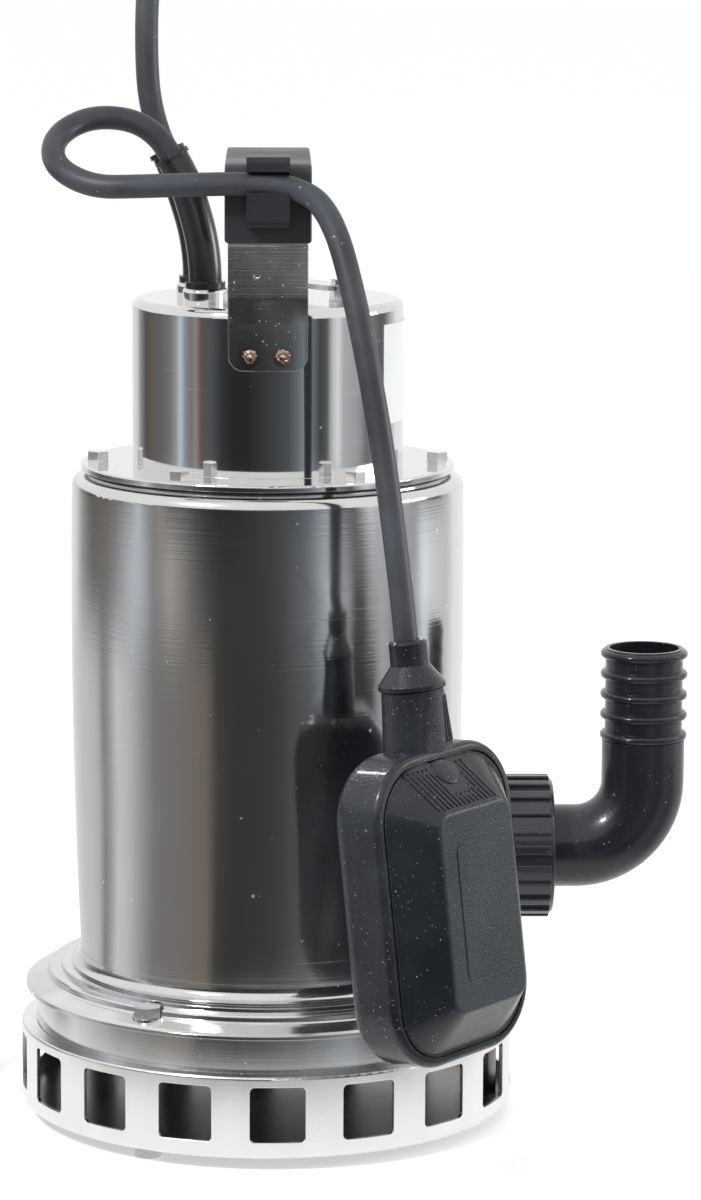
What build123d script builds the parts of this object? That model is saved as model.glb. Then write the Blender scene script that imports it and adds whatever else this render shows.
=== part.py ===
"""Submersible stainless drainage pump with a float switch, a side outlet elbow and a strap handle.

Millimetres, +Z up. The origin is the pump's axis at the floor, under the three feet. -Y is the
front, where the float cable's clip is, and +X is the outlet side.
"""
from build123d import *
from math import atan2, cos, degrees, pi, radians, sin, sqrt, tan
import os

os.makedirs("parts", exist_ok=True)

# ---------------------------------------------------------------- driving dimensions
sheet = 1.2                     # wall of the drawn stainless shells
running_gap = 0.05              # radial gap of turning fits
seat_gap = 0.3                  # room round loose or swinging pieces

# base: feet, posts, strainer and casing
foot_height, foot_r = 4.8, 5.5
base_bolt_circle_r, base_bolt_r, base_bolt_turn = 89.0, 3.0, -31.5
base_bolt_head_flats, base_bolt_head_height, bolt_pad_r = 10.0, 4.2, 6.0
post_r = 4.5
strainer_r, strainer_height, strainer_wall = 99.5, 32.6, 1.5
strainer_rim_width = 17.0
slot_count, slot_width, slot_height, slot_lift, slot_corner_r, slot_turn = 17, 21.7, 22.0, 6.7, 2.0, 2.45
skirt_r, skirt_height, skirt_tuck = 93.4, 13.9, 3.0
lip_r, lip_height = 97.6, 2.4
bead_r, bead_rise, bead_height = 88.8, 3.0, 2.4
shoulder_r, shoulder_height = 83.6, 1.6
diffuser_r, diffuser_wall = 80.0, 3.0
vane_count, vane_thickness = 8, 2.5

# pump chamber
suction_plate_thickness, eye_r = 3.0, 25.0
wear_ring_wall, wear_ring_height = 2.0, 6.5
impeller_r, impeller_eye_r, impeller_shroud = 60.0, 20.5, 1.6
blade_count, blade_height, blade_thickness = 6, 7.0, 2.2
diffuser_plate_thickness = 3.5
chamber_gap = 2.5

# motor
jacket_foot_r, jacket_waist_r, jacket_belly_r, jacket_top_r = 79.2, 75.4, 77.8, 78.2
jacket_height, jacket_shoulder_r = 199.0, 4.5
can_r, can_wall = 56.0, 1.5
shaft_r, shaft_core_r, shaft_seat_r, shaft_thread_r = 7.5, 9.5, 6.0, 5.0
bearing_r, bearing_width, ball_r, ball_count = 17.5, 11.0, 2.1, 8
bearing_inner_race, bearing_outer_race = 2.8, 2.9
oil_chamber_r, oil_chamber_height = 28.0, 14.5
core_height, core_gap, stator_bore_r, stator_slots = 72.0, 0.5, 30.0, 24
winding_r_out, winding_r_in, winding_height = 49.0, 33.5, 17.0
capacitor_r, capacitor_height = 17.5, 62.0

# cap, flange, screws
flange_r, flange_thickness, gasket_thickness = 74.4, 2.6, 1.2
cap_r, cap_height, cap_edge_r, cap_wall = 54.0, 65.6, 3.5, 1.5
flange_screw_circle_r, flange_screw_r, flange_screw_flats, flange_screw_head = 67.6, 2.5, 8.0, 4.0
boss_r, boss_height = 8.9, 5.6

# handle
strap_width, strap_thickness = 31.0, 2.0
strap_top, strap_foot, strap_corner_r = 384.0, 306.5, 10.0
grip_width, grip_cover, grip_front, grip_drop = 33.5, 2.2, 3.5, 27.5
clip_width, clip_reach, clip_wrap, clip_rise, clip_drop, clip_mouth = 16.6, 9.4, 9.5, 10.5, 16.7, 7.8

# outlet
outlet_z, spigot_r, outlet_bore_r, spigot_end = 107.6, 20.95, 14.0, 106.0
outlet_gasket_thickness, elbow_collar_r, elbow_collar_width = 2.0, 20.3, 3.5
nut_r, nut_rib_height, nut_rib_count, nut_start, nut_lip = 27.2, 1.7, 22, 92.0, 3.6
pipe_r, elbow_bend_r, tail_x, tail_top = 16.65, 27.0, 151.8, 189.0
tail_r, rib_r, rib_count, rib_pitch, rib_crest, rib_base = 15.6, 17.5, 5, 8.3, 1.0, 3.6
rib_below_top = 2.3

# cables
cable_r = 4.6
sleeve_length, sleeve_wall, sleeve_gap, sleeve_flange_r, sleeve_flange_thickness = 54.0, 1.7, 0.15, 7.9, 2.4
clip_cable_z = 379.5

# float switch
float_width, float_length, float_corner_r = 80.0, 120.0, 25.0
float_shell_depth, float_cover_depth, float_wall = 24.0, 14.5, 2.6
cover_inset, cover_gap, plateau_width, plateau_length = 4.5, 0.8, 42.0, 76.0
neck_width, neck_throat_r, neck_height, gland_cone_height = 32.0, 13.0, 22.5, 9.5
gland_r, gland_height = 7.4, 9.5
switch_ball_r, switch_ball_travel, lever_slack, lever_lean = 6.5, 24.0, 1.0, 7.4


# ---------------------------------------------------------------- shared shapes
def turned(*outline):
    """A solid of revolution about Z from (radius, height) corners."""
    return revolve(make_face(Polyline(*[(r, 0, z) for r, z in outline], close=True)), Axis.Z)


def ring(outer, inner, low, high):
    return turned((inner, low), (outer, low), (outer, high), (inner, high))


def hexagon(flats, low, high):
    hexagon_face = RegularPolygon(flats / 2, 6, major_radius=False)
    return Pos(0, 0, low) * extrude(hexagon_face, high - low)


def around(shape, count, start=0.0):
    return [Rot(0, 0, start + i * 360 / count) * shape for i in range(count)]


def outer_edges(shape, height):
    """The widest round edges at one height."""
    round_edges = shape.edges().filter_by(GeomType.CIRCLE)
    level = [e for e in round_edges if abs(e.center().Z - height) < 0.01]
    widest = max(e.radius for e in level)
    return [e for e in level if abs(e.radius - widest) < 0.01]


def along_x(shape):
    """Turns a shape made about Z so that its axis is the outlet's."""
    return Pos(0, 0, outlet_z) * (Rot(0, 90, 0) * shape)


def save(name, *solids):
    shape = solids[0] if len(solids) == 1 else Compound(children=list(solids))
    export_step(shape, f"parts/{name}.step")


# ---------------------------------------------------------------- levels, from the floor up
strainer_top = foot_height + strainer_height
suction_plate_low = foot_height + slot_lift + slot_height + 0.8
suction_plate_top = suction_plate_low + suction_plate_thickness
skirt_top = strainer_top + skirt_height
lip_top = skirt_top + lip_height
bead_low = lip_top + bead_rise
bead_top = bead_low + bead_height
casing_top = bead_top + shoulder_height
bolt_seat = bead_low - 0.8
impeller_low = suction_plate_top + 1.0
blade_low = impeller_low + wear_ring_height - 1.5
blade_top = blade_low + blade_height
shroud_top = blade_top + 2.4
diffuser_top = casing_top - 2.0
diffuser_plate_low = diffuser_top - diffuser_plate_thickness
jacket_top = casing_top + jacket_height
can_flange_top = jacket_top + 1.0
flange_low = can_flange_top + gasket_thickness
flange_top = flange_low + flange_thickness
cap_top = flange_top + cap_height
can_in_r = can_r - can_wall

# ---------------------------------------------------------------- base
skirt_in_r = skirt_r - sheet
bolt_places = [Rot(0, 0, base_bolt_turn + 120 * i) * Pos(0, -base_bolt_circle_r, 0) for i in range(3)]
bolt_clearance_r = base_bolt_r + 0.15


def bolt_holes(low, high):
    hole = Pos(0, 0, (low + high) / 2) * Cylinder(bolt_clearance_r, high - low)
    return [place * hole for place in bolt_places]


foot_stud_r, foot_stud_length = 2.5, 12.0
foot = ring(foot_r, 0, 0, foot_height) + ring(foot_stud_r, 0, foot_height, foot_height + foot_stud_length)
save("feet", *[place * foot for place in bolt_places])

strainer_rim_r = strainer_r - strainer_rim_width
strainer = ring(strainer_r, strainer_rim_r, foot_height, strainer_top)
strainer -= ring(strainer_r - strainer_wall, 0, foot_height + strainer_wall, strainer_top - strainer_wall)
strainer -= ring(skirt_r + 0.2, 0, strainer_top - strainer_wall - 1, strainer_top + 1)
strainer = fillet(outer_edges(strainer, foot_height), 2.2)
strainer = fillet(outer_edges(strainer, strainer_top), 1.0)
slot = Box(slot_width, 6 * strainer_wall, slot_height)
slot = fillet(slot.edges().filter_by(Axis.Y), slot_corner_r)
slot = Pos(0, -strainer_r + strainer_wall, foot_height + slot_lift + slot_height / 2) * slot
strainer -= around(slot, slot_count, slot_turn)
strainer += ring(strainer_rim_r + 1, 0, foot_height, foot_height + strainer_wall)
stud_hole = Pos(0, 0, foot_height) * Cylinder(foot_stud_r, 4 * strainer_wall)
strainer -= [place * stud_hole for place in bolt_places]
save("strainer", strainer)

post_low = foot_height + strainer_wall
post = ring(post_r, 0, post_low, suction_plate_low)
post -= ring(foot_stud_r, 0, post_low - 1, foot_height + foot_stud_length)
bolt_end = suction_plate_low - 12.0
post -= ring(base_bolt_r, 0, bolt_end, suction_plate_low + 1)
save("strainer_posts", *[place * post for place in bolt_places])

suction_plate = ring(skirt_in_r - 0.2, eye_r, suction_plate_low, suction_plate_top)
suction_plate += ring(eye_r + 4, eye_r, suction_plate_top, suction_plate_top + 2)
suction_plate -= bolt_holes(suction_plate_low - 1, suction_plate_top + 1)
save("suction_plate", suction_plate)

wear_ring_r = eye_r - wear_ring_wall
save("wear_ring", ring(eye_r, wear_ring_r, suction_plate_low, suction_plate_low + wear_ring_height))

casing_outline = [
    (skirt_in_r, strainer_top - skirt_tuck), (skirt_r, strainer_top - skirt_tuck), (skirt_r, skirt_top),
    (lip_r, skirt_top + 0.4), (lip_r, lip_top - 0.5), (lip_r - 1.5, lip_top + 0.3), (bead_r + 0.8, bead_low - 0.6),
    (bead_r, bead_low), (bead_r, bead_top - 0.6), (bead_r - 0.6, bead_top), (shoulder_r, bead_top),
    (shoulder_r - 0.4, casing_top), (jacket_waist_r - 4, casing_top), (jacket_waist_r - 4, diffuser_top),
    (diffuser_r + 0.2, diffuser_top), (diffuser_r + 0.2, skirt_top - 2.0), (skirt_in_r, skirt_top - 2.0),
]
base_casing = turned(*casing_outline)
bolt_pad = Pos(0, 0, (lip_top - 0.5 + bolt_seat) / 2) * Cylinder(bolt_pad_r, bolt_seat - lip_top + 0.5)
base_casing += [place * bolt_pad for place in bolt_places]
base_casing -= bolt_holes(skirt_top - 3, casing_top + 1)
spotface = Pos(0, 0, bolt_seat + 10) * Cylinder(base_bolt_head_flats / 2 / cos(pi / 6) + 0.6, 20)
base_casing -= [place * spotface for place in bolt_places]
save("base_casing", base_casing)

base_bolt = hexagon(base_bolt_head_flats, bolt_seat, bolt_seat + base_bolt_head_height)
base_bolt += ring(base_bolt_r, 0, bolt_end, bolt_seat)
save("base_bolts", *[place * base_bolt for place in bolt_places])

# ---------------------------------------------------------------- pump chamber
diffuser = ring(diffuser_r, diffuser_r - diffuser_wall, suction_plate_top, diffuser_top)
diffuser += ring(diffuser_r, shaft_r + 6, diffuser_plate_low, diffuser_top)
vane_in, vane_out = impeller_r + chamber_gap, diffuser_r - diffuser_wall / 2
vane_height = diffuser_plate_low - suction_plate_top
vane = Box(vane_out - vane_in, vane_thickness, vane_height)
vane = Pos((vane_in + vane_out) / 2, 0, suction_plate_top + vane_height / 2) * (Rot(0, 0, 24) * vane)
diffuser += [v & ring(diffuser_r, vane_in, 0, casing_top) for v in around(vane, vane_count)]
window_r_in, window_r_out = can_r + 3, jacket_waist_r - 5
window = ring(window_r_out, window_r_in, diffuser_plate_low - 1, diffuser_top + 1)
window &= Pos(window_r_out, 0, diffuser_top) * Box(3 * window_r_in, 26, 20)
diffuser -= around(window, vane_count, 180 / vane_count)
save("diffuser", diffuser)


def blade(turn):
    """One backward-curved blade, standing between the impeller's two shrouds."""
    start, middle, end = (impeller_eye_r - 6, 0), (34.0, 15.0), (impeller_r - 11, 33.0)
    line = ThreePointArc(start, middle, end)
    flat = offset(line, blade_thickness / 2, side=Side.BOTH, kind=Kind.ARC)
    return Pos(0, 0, blade_low) * (Rot(0, 0, turn) * extrude(make_face(flat), blade_height))


collar_r = wear_ring_r - 0.15
hub_r = 12.0
impeller = ring(collar_r, impeller_eye_r, impeller_low, blade_low - impeller_shroud)
impeller += ring(impeller_r, impeller_eye_r, blade_low - impeller_shroud, blade_low)
impeller += ring(impeller_r, hub_r - 1, blade_top, shroud_top)
impeller += ring(hub_r, shaft_seat_r, blade_low, shroud_top + 3)
impeller += [blade(i * 360 / blade_count) for i in range(blade_count)]
impeller -= ring(shaft_seat_r, 0, impeller_low - 5, shroud_top + 9)
save("impeller", impeller)

nut_height = 7.0
impeller_nut = hexagon(16, blade_low - nut_height, blade_low) - ring(shaft_thread_r, 0, 0, blade_low + 1)
save("impeller_nut", impeller_nut)

# ---------------------------------------------------------------- shaft seals and bearings
housing_flange_top = diffuser_top + 6.0
chamber_top = housing_flange_top + oil_chamber_height
lip_seal_height = 5.0
lower_bearing_low = chamber_top + lip_seal_height + 1.0
lower_bearing_top = lower_bearing_low + bearing_width
housing_top = lower_bearing_top - 4.0
seal_seat_r = 13.0

seal_housing = ring(can_r + 1.5, 0, diffuser_top, housing_flange_top)
seal_housing += ring(can_in_r - 0.05, 0, housing_flange_top, housing_top)
seal_housing += ring(bearing_r + 6, 0, housing_top, lower_bearing_top)
seal_housing -= ring(seal_seat_r, 0, diffuser_top - 1, housing_flange_top + 1)
seal_housing -= ring(oil_chamber_r, 0, housing_flange_top, chamber_top)
seal_housing -= ring(seal_seat_r - 1, 0, chamber_top - 1, chamber_top + lip_seal_height)
seal_housing -= ring(bearing_r - 3.5, 0, chamber_top + lip_seal_height, lower_bearing_low)
seal_housing -= ring(bearing_r, 0, lower_bearing_low, lower_bearing_top + 1)
oring_r, oring_z = 1.3, housing_flange_top + 7
seal_housing -= ring(can_r, can_in_r - 2 * oring_r - 0.1, oring_z - 1.6, oring_z + 1.6)
save("seal_housing", seal_housing)
save("housing_oring", Pos(0, 0, oring_z) * Torus(can_in_r - oring_r - 0.02, oring_r))

seat_low = housing_flange_top - 5.0
face_low = housing_flange_top + running_gap
face_top, spring_top = face_low + 4.5, face_low + 12.0
save("seal_seat", ring(seal_seat_r, shaft_r + 0.7, seat_low, housing_flange_top))
save("seal_face", ring(shaft_r + 4.5, shaft_r, face_low, face_top))
spring_wire_r, spring_turns = 0.55, 3
spring_rise = spring_top - face_top - 2 * spring_wire_r - 0.1
spring_path = Helix(spring_rise / spring_turns, spring_rise, shaft_r + 2)
spring_section = Plane(spring_path @ 0, z_dir=spring_path % 0) * Circle(spring_wire_r)
seal_spring = Pos(0, 0, face_top + spring_wire_r + 0.05) * sweep(spring_section, spring_path)
save("seal_spring", seal_spring)
save("spring_collar", ring(shaft_r + 4, shaft_r, spring_top, chamber_top - 0.6))
lip_seal = ring(seal_seat_r - 1, shaft_r + running_gap, chamber_top, chamber_top + lip_seal_height)
save("lip_seal", lip_seal)

winding_gap = 4.0
core_low = lower_bearing_top + winding_gap + winding_height
core_top = core_low + core_height
upper_bearing_low = core_top + winding_height + 8.0
upper_bearing_top = upper_bearing_low + bearing_width
bearing_levels = [lower_bearing_low, upper_bearing_low]
outer_race = ring(bearing_r, bearing_r - bearing_outer_race, 0, bearing_width)
inner_race = ring(shaft_r + bearing_inner_race, shaft_r, 0, bearing_width)
ball_circle_r = (bearing_r - bearing_outer_race + shaft_r + bearing_inner_race) / 2
bearing_ball = Pos(ball_circle_r, 0, bearing_width / 2) * Sphere(ball_r)
save("bearing_outer_races", *[Pos(0, 0, z) * outer_race for z in bearing_levels])
save("bearing_inner_races", *[Pos(0, 0, z) * inner_race for z in bearing_levels])
save("bearing_balls", *[Pos(0, 0, z) * b for z in bearing_levels for b in around(bearing_ball, ball_count)])

shaft_low = blade_low - nut_height - 2.0
shaft_end = upper_bearing_top + 1.5
seat_top = shroud_top + 3
shaft = turned(
    (0, shaft_low), (shaft_thread_r, shaft_low), (shaft_thread_r, blade_low), (shaft_seat_r, blade_low),
    (shaft_seat_r, seat_top), (shaft_r, seat_top), (shaft_r, lower_bearing_top), (shaft_core_r, lower_bearing_top),
    (shaft_core_r, upper_bearing_low), (shaft_r, upper_bearing_low), (shaft_r, shaft_end), (0, shaft_end))
save("shaft", shaft)

# ---------------------------------------------------------------- motor
rotor_r = stator_bore_r - core_gap
rotor_core = ring(rotor_r, shaft_core_r, core_low, core_top)
rotor_core += ring(rotor_r - 2, shaft_core_r + 8, core_low - 4, core_top + 4)
save("rotor_core", rotor_core)

stator_core = ring(can_in_r - 0.02, stator_bore_r, core_low, core_top)
stator_slot = Pos(stator_bore_r + 5, 0, (core_low + core_top) / 2) * Box(14, 2.6, core_height + 2)
stator_core -= around(stator_slot, stator_slots)
save("stator_core", stator_core)

end_winding = ring(winding_r_out, winding_r_in, 0, winding_height)
end_winding = fillet(end_winding.edges().filter_by(GeomType.CIRCLE), 4.0)
winding_lows = [core_low - winding_height, core_top]
save("end_windings", *[Pos(0, 0, z) * end_winding for z in winding_lows])

bracket_top = upper_bearing_top + 5.0
upper_bracket = ring(can_in_r - 0.02, 0, bracket_top - 8, bracket_top)
upper_bracket += ring(bearing_r + 6, 0, upper_bearing_low - 1, bracket_top)
upper_bracket -= ring(bearing_r, 0, upper_bearing_low - 2, upper_bearing_top)
upper_bracket -= ring(bearing_r - 3.5, 0, upper_bearing_top - 1, shaft_end + 1)
save("upper_bearing_bracket", upper_bracket)

can_flange_r = flange_screw_circle_r + 4.4
motor_can = ring(can_r, can_in_r, housing_flange_top, can_flange_top)
motor_can += ring(can_flange_r, can_in_r, jacket_top, can_flange_top)
screw_hole = Pos(0, -flange_screw_circle_r, jacket_top) * Cylinder(flange_screw_r + 0.15, 30)
screw_holes = around(screw_hole, 6, 30)
motor_can -= screw_holes
save("motor_can", motor_can)

capacitor = Pos(6, 22, bracket_top + capacitor_height / 2) * Cylinder(capacitor_r, capacitor_height)
capacitor = fillet(capacitor.edges().group_by(Axis.Z)[-1], 2)
save("capacitor", capacitor)
terminal_block = Pos(10, -22, bracket_top + 8) * Box(40, 16, 16)
terminal_way = Pos(10, -22, bracket_top + 12) * Cylinder(2.2, 9)
terminal_block -= [Pos(step, 0, 0) * terminal_way for step in (-12, 0, 12)]
save("terminal_block", terminal_block)

# ---------------------------------------------------------------- outer jacket and outlet
waist_z, belly_z = casing_top + 6.0, casing_top + 75.0
jacket_side_top = jacket_top - jacket_shoulder_r
jacket_rim_r = can_r + 2.0


def jacket_body(inset, low, high):
    """The barrel inside the jacket's outer face, or, inset by its wall, inside its inner face."""
    foot, waist = jacket_foot_r - inset, jacket_waist_r - inset
    belly, top, corner = jacket_belly_r - inset, jacket_top_r - inset, jacket_shoulder_r - inset
    corner_low = jacket_side_top
    outline = [
        Line((0, 0, low), (foot, 0, low)),
        Line((foot, 0, low), (foot, 0, low + 1.0)),
        ThreePointArc((foot, 0, low + 1.0), (waist + 0.9, 0, waist_z - 3.0), (waist, 0, waist_z)),
        ThreePointArc((waist, 0, waist_z), (belly, 0, belly_z), (top, 0, corner_low)),
        ThreePointArc((top, 0, corner_low), (top - corner * 0.293, 0, high - corner * 0.293), (top - corner, 0, high)),
        Line((top - corner, 0, high), (0, 0, high)),
        Line((0, 0, high), (0, 0, low)),
    ]
    return revolve(make_face(outline), Axis.Z)


jacket_solid = jacket_body(0, casing_top, jacket_top)
jacket_hollow = jacket_body(sheet, casing_top, jacket_top - sheet)
outer_jacket = jacket_solid - jacket_hollow
thread_ring = ring(flange_screw_circle_r + 4, jacket_rim_r, jacket_top - 4.5, jacket_top)
outer_jacket += thread_ring & jacket_solid
outer_jacket -= ring(jacket_rim_r, 0, jacket_top - 5, jacket_top + 1)
outer_jacket -= along_x(ring(spigot_r, 0, 40, 100))
outer_jacket -= screw_holes
save("outer_jacket", outer_jacket)

weld_collar_r = spigot_r + 2.6
spigot_bore_r = outlet_bore_r + 1.5
spigot = along_x(ring(spigot_r, spigot_bore_r, 60, spigot_end)) - jacket_hollow
spigot += along_x(ring(weld_collar_r, spigot_bore_r, 60, jacket_belly_r + 5)) - jacket_solid
save("outlet_spigot", spigot)
gasket_end = spigot_end + outlet_gasket_thickness
save("outlet_gasket", along_x(ring(elbow_collar_r, spigot_bore_r, spigot_end, gasket_end)))

collar_start = gasket_end + running_gap
collar_end = collar_start + elbow_collar_width
nut_end = collar_end + 0.2 + nut_lip
union_nut = ring(nut_r, spigot_r + 0.1, nut_start, collar_end + 0.2)
union_nut += ring(nut_r, pipe_r + 0.4, collar_end + 0.2, nut_end)
union_nut = fillet(outer_edges(union_nut, nut_end), 1.5)
rib_width = pi * nut_r / nut_rib_count
nut_rib = Pos(nut_r + nut_rib_height / 2 - 0.5, 0, (nut_start + nut_end) / 2 - 0.4)
nut_rib *= Box(nut_rib_height + 1, rib_width, nut_end - nut_start - 2.4)
nut_rib = fillet(nut_rib.edges().group_by(Axis.X)[-1], 0.7)
union_nut += around(nut_rib, nut_rib_count)
save("union_nut", along_x(union_nut))

elbow_turn_x, elbow_turn_z = tail_x - elbow_bend_r, outlet_z + elbow_bend_r
elbow_line = [
    Line((collar_start, 0, outlet_z), (elbow_turn_x, 0, outlet_z)),
    ThreePointArc(
        (elbow_turn_x, 0, outlet_z),
        (elbow_turn_x + elbow_bend_r * sin(pi / 4), 0, elbow_turn_z - elbow_bend_r * cos(pi / 4)),
        (tail_x, 0, elbow_turn_z)),
    Line((tail_x, 0, elbow_turn_z), (tail_x, 0, tail_top)),
]
elbow_path = Wire(elbow_line)
elbow_section = Plane((collar_start, 0, outlet_z), z_dir=(1, 0, 0))


def elbow_tube(radius):
    return sweep(elbow_section * Circle(radius), elbow_path)


barb_low = tail_top - rib_below_top - (rib_count - 1) * rib_pitch - rib_base / 2
hose_elbow = elbow_tube(pipe_r) + along_x(ring(elbow_collar_r, 0, collar_start, collar_end))
hose_elbow -= Pos(tail_x, 0, 0) * ring(pipe_r + 5, tail_r, barb_low, tail_top + 1)
for step in range(rib_count):
    middle = tail_top - rib_below_top - step * rib_pitch
    half, crest = rib_base / 2, rib_crest / 2
    lean = 0.3 * (rib_r - tail_r)
    barb = [
        Line((tail_r - 1, 0, middle - half), (tail_r, 0, middle - half)),
        ThreePointArc((tail_r, 0, middle - half), (rib_r - lean, 0, middle - half * 0.72), (rib_r, 0, middle - crest)),
        Line((rib_r, 0, middle - crest), (rib_r, 0, middle + crest)),
        ThreePointArc((rib_r, 0, middle + crest), (rib_r - lean, 0, middle + half * 0.72), (tail_r, 0, middle + half)),
        Line((tail_r, 0, middle + half), (tail_r - 1, 0, middle + half)),
        Line((tail_r - 1, 0, middle + half), (tail_r - 1, 0, middle - half)),
    ]
    hose_elbow += Pos(tail_x, 0, 0) * revolve(make_face(barb), Axis.Z)
hose_elbow -= elbow_tube(outlet_bore_r)
save("elbow_hose_tail", hose_elbow)

# ---------------------------------------------------------------- cap and its screws
sleeve_feet = [(-24.6, -21.0), (-27.5, 5.0)]
motor_cap = ring(cap_r, 0, flange_low, cap_top)
motor_cap = fillet(outer_edges(motor_cap, cap_top), cap_edge_r)
motor_cap += ring(flange_r, 0, flange_low, flange_top)
for x, y in sleeve_feet:
    boss = Pos(x, y, cap_top + boss_height / 2 - 1) * Cylinder(boss_r, boss_height + 2)
    motor_cap += fillet(boss.edges().group_by(Axis.Z)[-1], 1.5)
motor_cap -= ring(cap_r - cap_wall, 0, flange_low - 1, cap_top - cap_wall)
cable_hole = Cylinder(cable_r + sleeve_gap, 40)
motor_cap -= [Pos(x, y, cap_top) * cable_hole for x, y in sleeve_feet]
motor_cap -= screw_holes
motor_cap = fillet(outer_edges(motor_cap, flange_top), 0.8)
save("motor_cap", motor_cap)

flange_gasket = ring(flange_r - 1.2, can_in_r, can_flange_top, flange_low) - screw_holes
save("flange_gasket", flange_gasket)

flange_screw = hexagon(flange_screw_flats, flange_top, flange_top + flange_screw_head)
flange_screw += ring(flange_screw_r, 0, jacket_top - 4.5, flange_top)
save("flange_screws", *around(Pos(0, -flange_screw_circle_r, 0) * flange_screw, 6, 30))

label_low, label_high, label_start, label_sweep = flange_top + 18, cap_top - 8, 57.0, 62.0
label = revolve(
    Rot(0, 0, label_start - 90) * make_face(Polyline(
        (cap_r, 0, label_low), (cap_r + 0.2, 0, label_low), (cap_r + 0.2, 0, label_high), (cap_r, 0, label_high),
        close=True)), Axis.Z, label_sweep)
save("blank_rating_label", label)

# ---------------------------------------------------------------- handle
strap_out, strap_in = cap_r + strap_thickness, cap_r
strap_bend_low, strap_bend_high = cap_top - 5.0, cap_top + 5.0


def bail(half_depth, top, low, corner):
    """An upside-down U block in the YZ plane, as wide as asked later."""
    outline = Pos(0, (top + low) / 2) * Rectangle(2 * half_depth, top - low)
    return fillet(outline.vertices().group_by(Axis.Y)[-1], corner)


def thick(outline, width):
    """Extrudes a YZ outline evenly about the YZ plane."""
    return extrude(Plane.YZ * outline, width / 2, both=True)


strap_flat = thick(bail(strap_out, strap_top, strap_bend_high, strap_corner_r), strap_width)
strap_void_top = strap_top - strap_thickness
strap_void = thick(bail(strap_in, strap_void_top, 0, strap_corner_r - strap_thickness), strap_width + 2)
strap_flat -= strap_void


def leg_section(height, curved):
    """The strap's section on one leg: flat above, wrapped to the cap's wall below."""
    half = strap_width / 2
    if not curved:
        return Pos(0, -(strap_out + strap_in) / 2, height) * Rectangle(strap_width, strap_thickness)
    corners = [(side * half, -sqrt(r * r - half * half)) for r in (strap_in, strap_out) for side in (-1, 1)]
    outline = [
        ThreePointArc(corners[0], (0, -strap_in), corners[1]),
        Line(corners[1], corners[3]),
        ThreePointArc(corners[3], (0, -strap_out), corners[2]),
        Line(corners[2], corners[0]),
    ]
    return Pos(0, 0, height) * make_face(outline)


leg = loft([leg_section(strap_bend_low, True), leg_section(strap_bend_high, False)], ruled=True)
wrapped = ring(strap_out, strap_in, strap_foot, strap_bend_low)
strap_end = RectangleRounded(strap_width, 2 * (strap_bend_low - strap_foot), 6.0)
wrapped &= Pos(0, -strap_in, strap_bend_low) * (Rot(90, 0, 0) * extrude(strap_end, 12, both=True))
leg += wrapped
handle_strap = strap_flat + leg + Rot(0, 0, 180) * leg
strap_hole = Pos(-4.3, -strap_out, 343.8) * (Rot(90, 0, 0) * Cylinder(1.0, 8))
handle_strap -= strap_hole
save("handle_strap", handle_strap)

grip_top, grip_out = strap_top + grip_cover, strap_out + grip_front
grip_low = grip_top - grip_cover - grip_drop
grip_lining = 2.5
handle_grip = thick(bail(grip_out, grip_top, grip_low, strap_corner_r + 1), grip_width)
grip_void = bail(strap_in - grip_lining, strap_void_top - grip_lining, 0, strap_corner_r - 4)
handle_grip -= thick(grip_void, grip_width + 2)
side_edges = handle_grip.faces().filter_by(Axis.X).edges()
handle_grip = fillet(side_edges, 1.2)
clip_cable_y = -(grip_out + cable_r + 0.1)
clip_top, clip_low = clip_cable_z + clip_rise, clip_cable_z - clip_drop
clip_profile = Pos(-(grip_out + clip_reach / 2 - 1.0), (clip_top + clip_low) / 2)
clip_profile *= Rectangle(clip_reach + 2.0, clip_top - clip_low)
clip_profile = fillet(clip_profile.vertices().group_by(Axis.X)[0], 2.6)
clip_profile -= Pos(clip_cable_y, clip_cable_z) * Circle(cable_r + sleeve_gap)
clip_profile += Pos(-(grip_out - clip_wrap / 2), clip_top - 6) * Rectangle(clip_wrap, 12)
clip_profile -= Pos(clip_cable_y - 10, clip_cable_z + 0.9) * Rectangle(20, clip_mouth)
handle_grip += thick(clip_profile, clip_width)
handle_grip -= handle_strap
handle_grip -= thick(bail(strap_out, strap_top, 0, strap_corner_r), strap_width) - strap_void
save("handle_grip", handle_grip)

# the cover plate over the cap's wiring opening, on two hex standoffs
plate_low, plate_thickness, plate_places = cap_top + 4.2, 2.0, [(28.0, -14.0), (4.0, 16.0)]
standoff = hexagon(7, cap_top, plate_low) + ring(1.5, 0, plate_low, plate_low + plate_thickness)
standoff += hexagon(5.5, plate_low + plate_thickness, plate_low + plate_thickness + 2.4)
plate = Pos(16, 1, plate_low + plate_thickness / 2) * (Rot(0, 0, -51) * Box(46, 13, plate_thickness))
plate = fillet(plate.edges().filter_by(Axis.Z), 6.0)
plate -= [Pos(x, y, plate_low) * Cylinder(1.5, 10) for x, y in plate_places]
save("cover_plate", plate)
save("plate_standoffs", *[Pos(x, y, 0) * standoff for x, y in plate_places])


# ---------------------------------------------------------------- cables and their sleeves
def bend_radii(points, share=0.45):
    """Each arc's radius: 0.45 of the shorter run over the tangent of half the turn."""
    radii = []
    for a, b, c in zip(points, points[1:], points[2:]):
        run_in, run_out = Vector(*b) - Vector(*a), Vector(*c) - Vector(*b)
        turn = run_in.get_angle(run_out)
        radii.append(share * min(run_in.length, run_out.length) / tan(radians(turn / 2)))
    return radii


def tube(points, radius, radii=None):
    path = FilletPolyline(*points, radius=radii or bend_radii(points))
    return sweep(Plane(path @ 0, z_dir=path % 0) * Circle(radius), path), path.length


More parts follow.
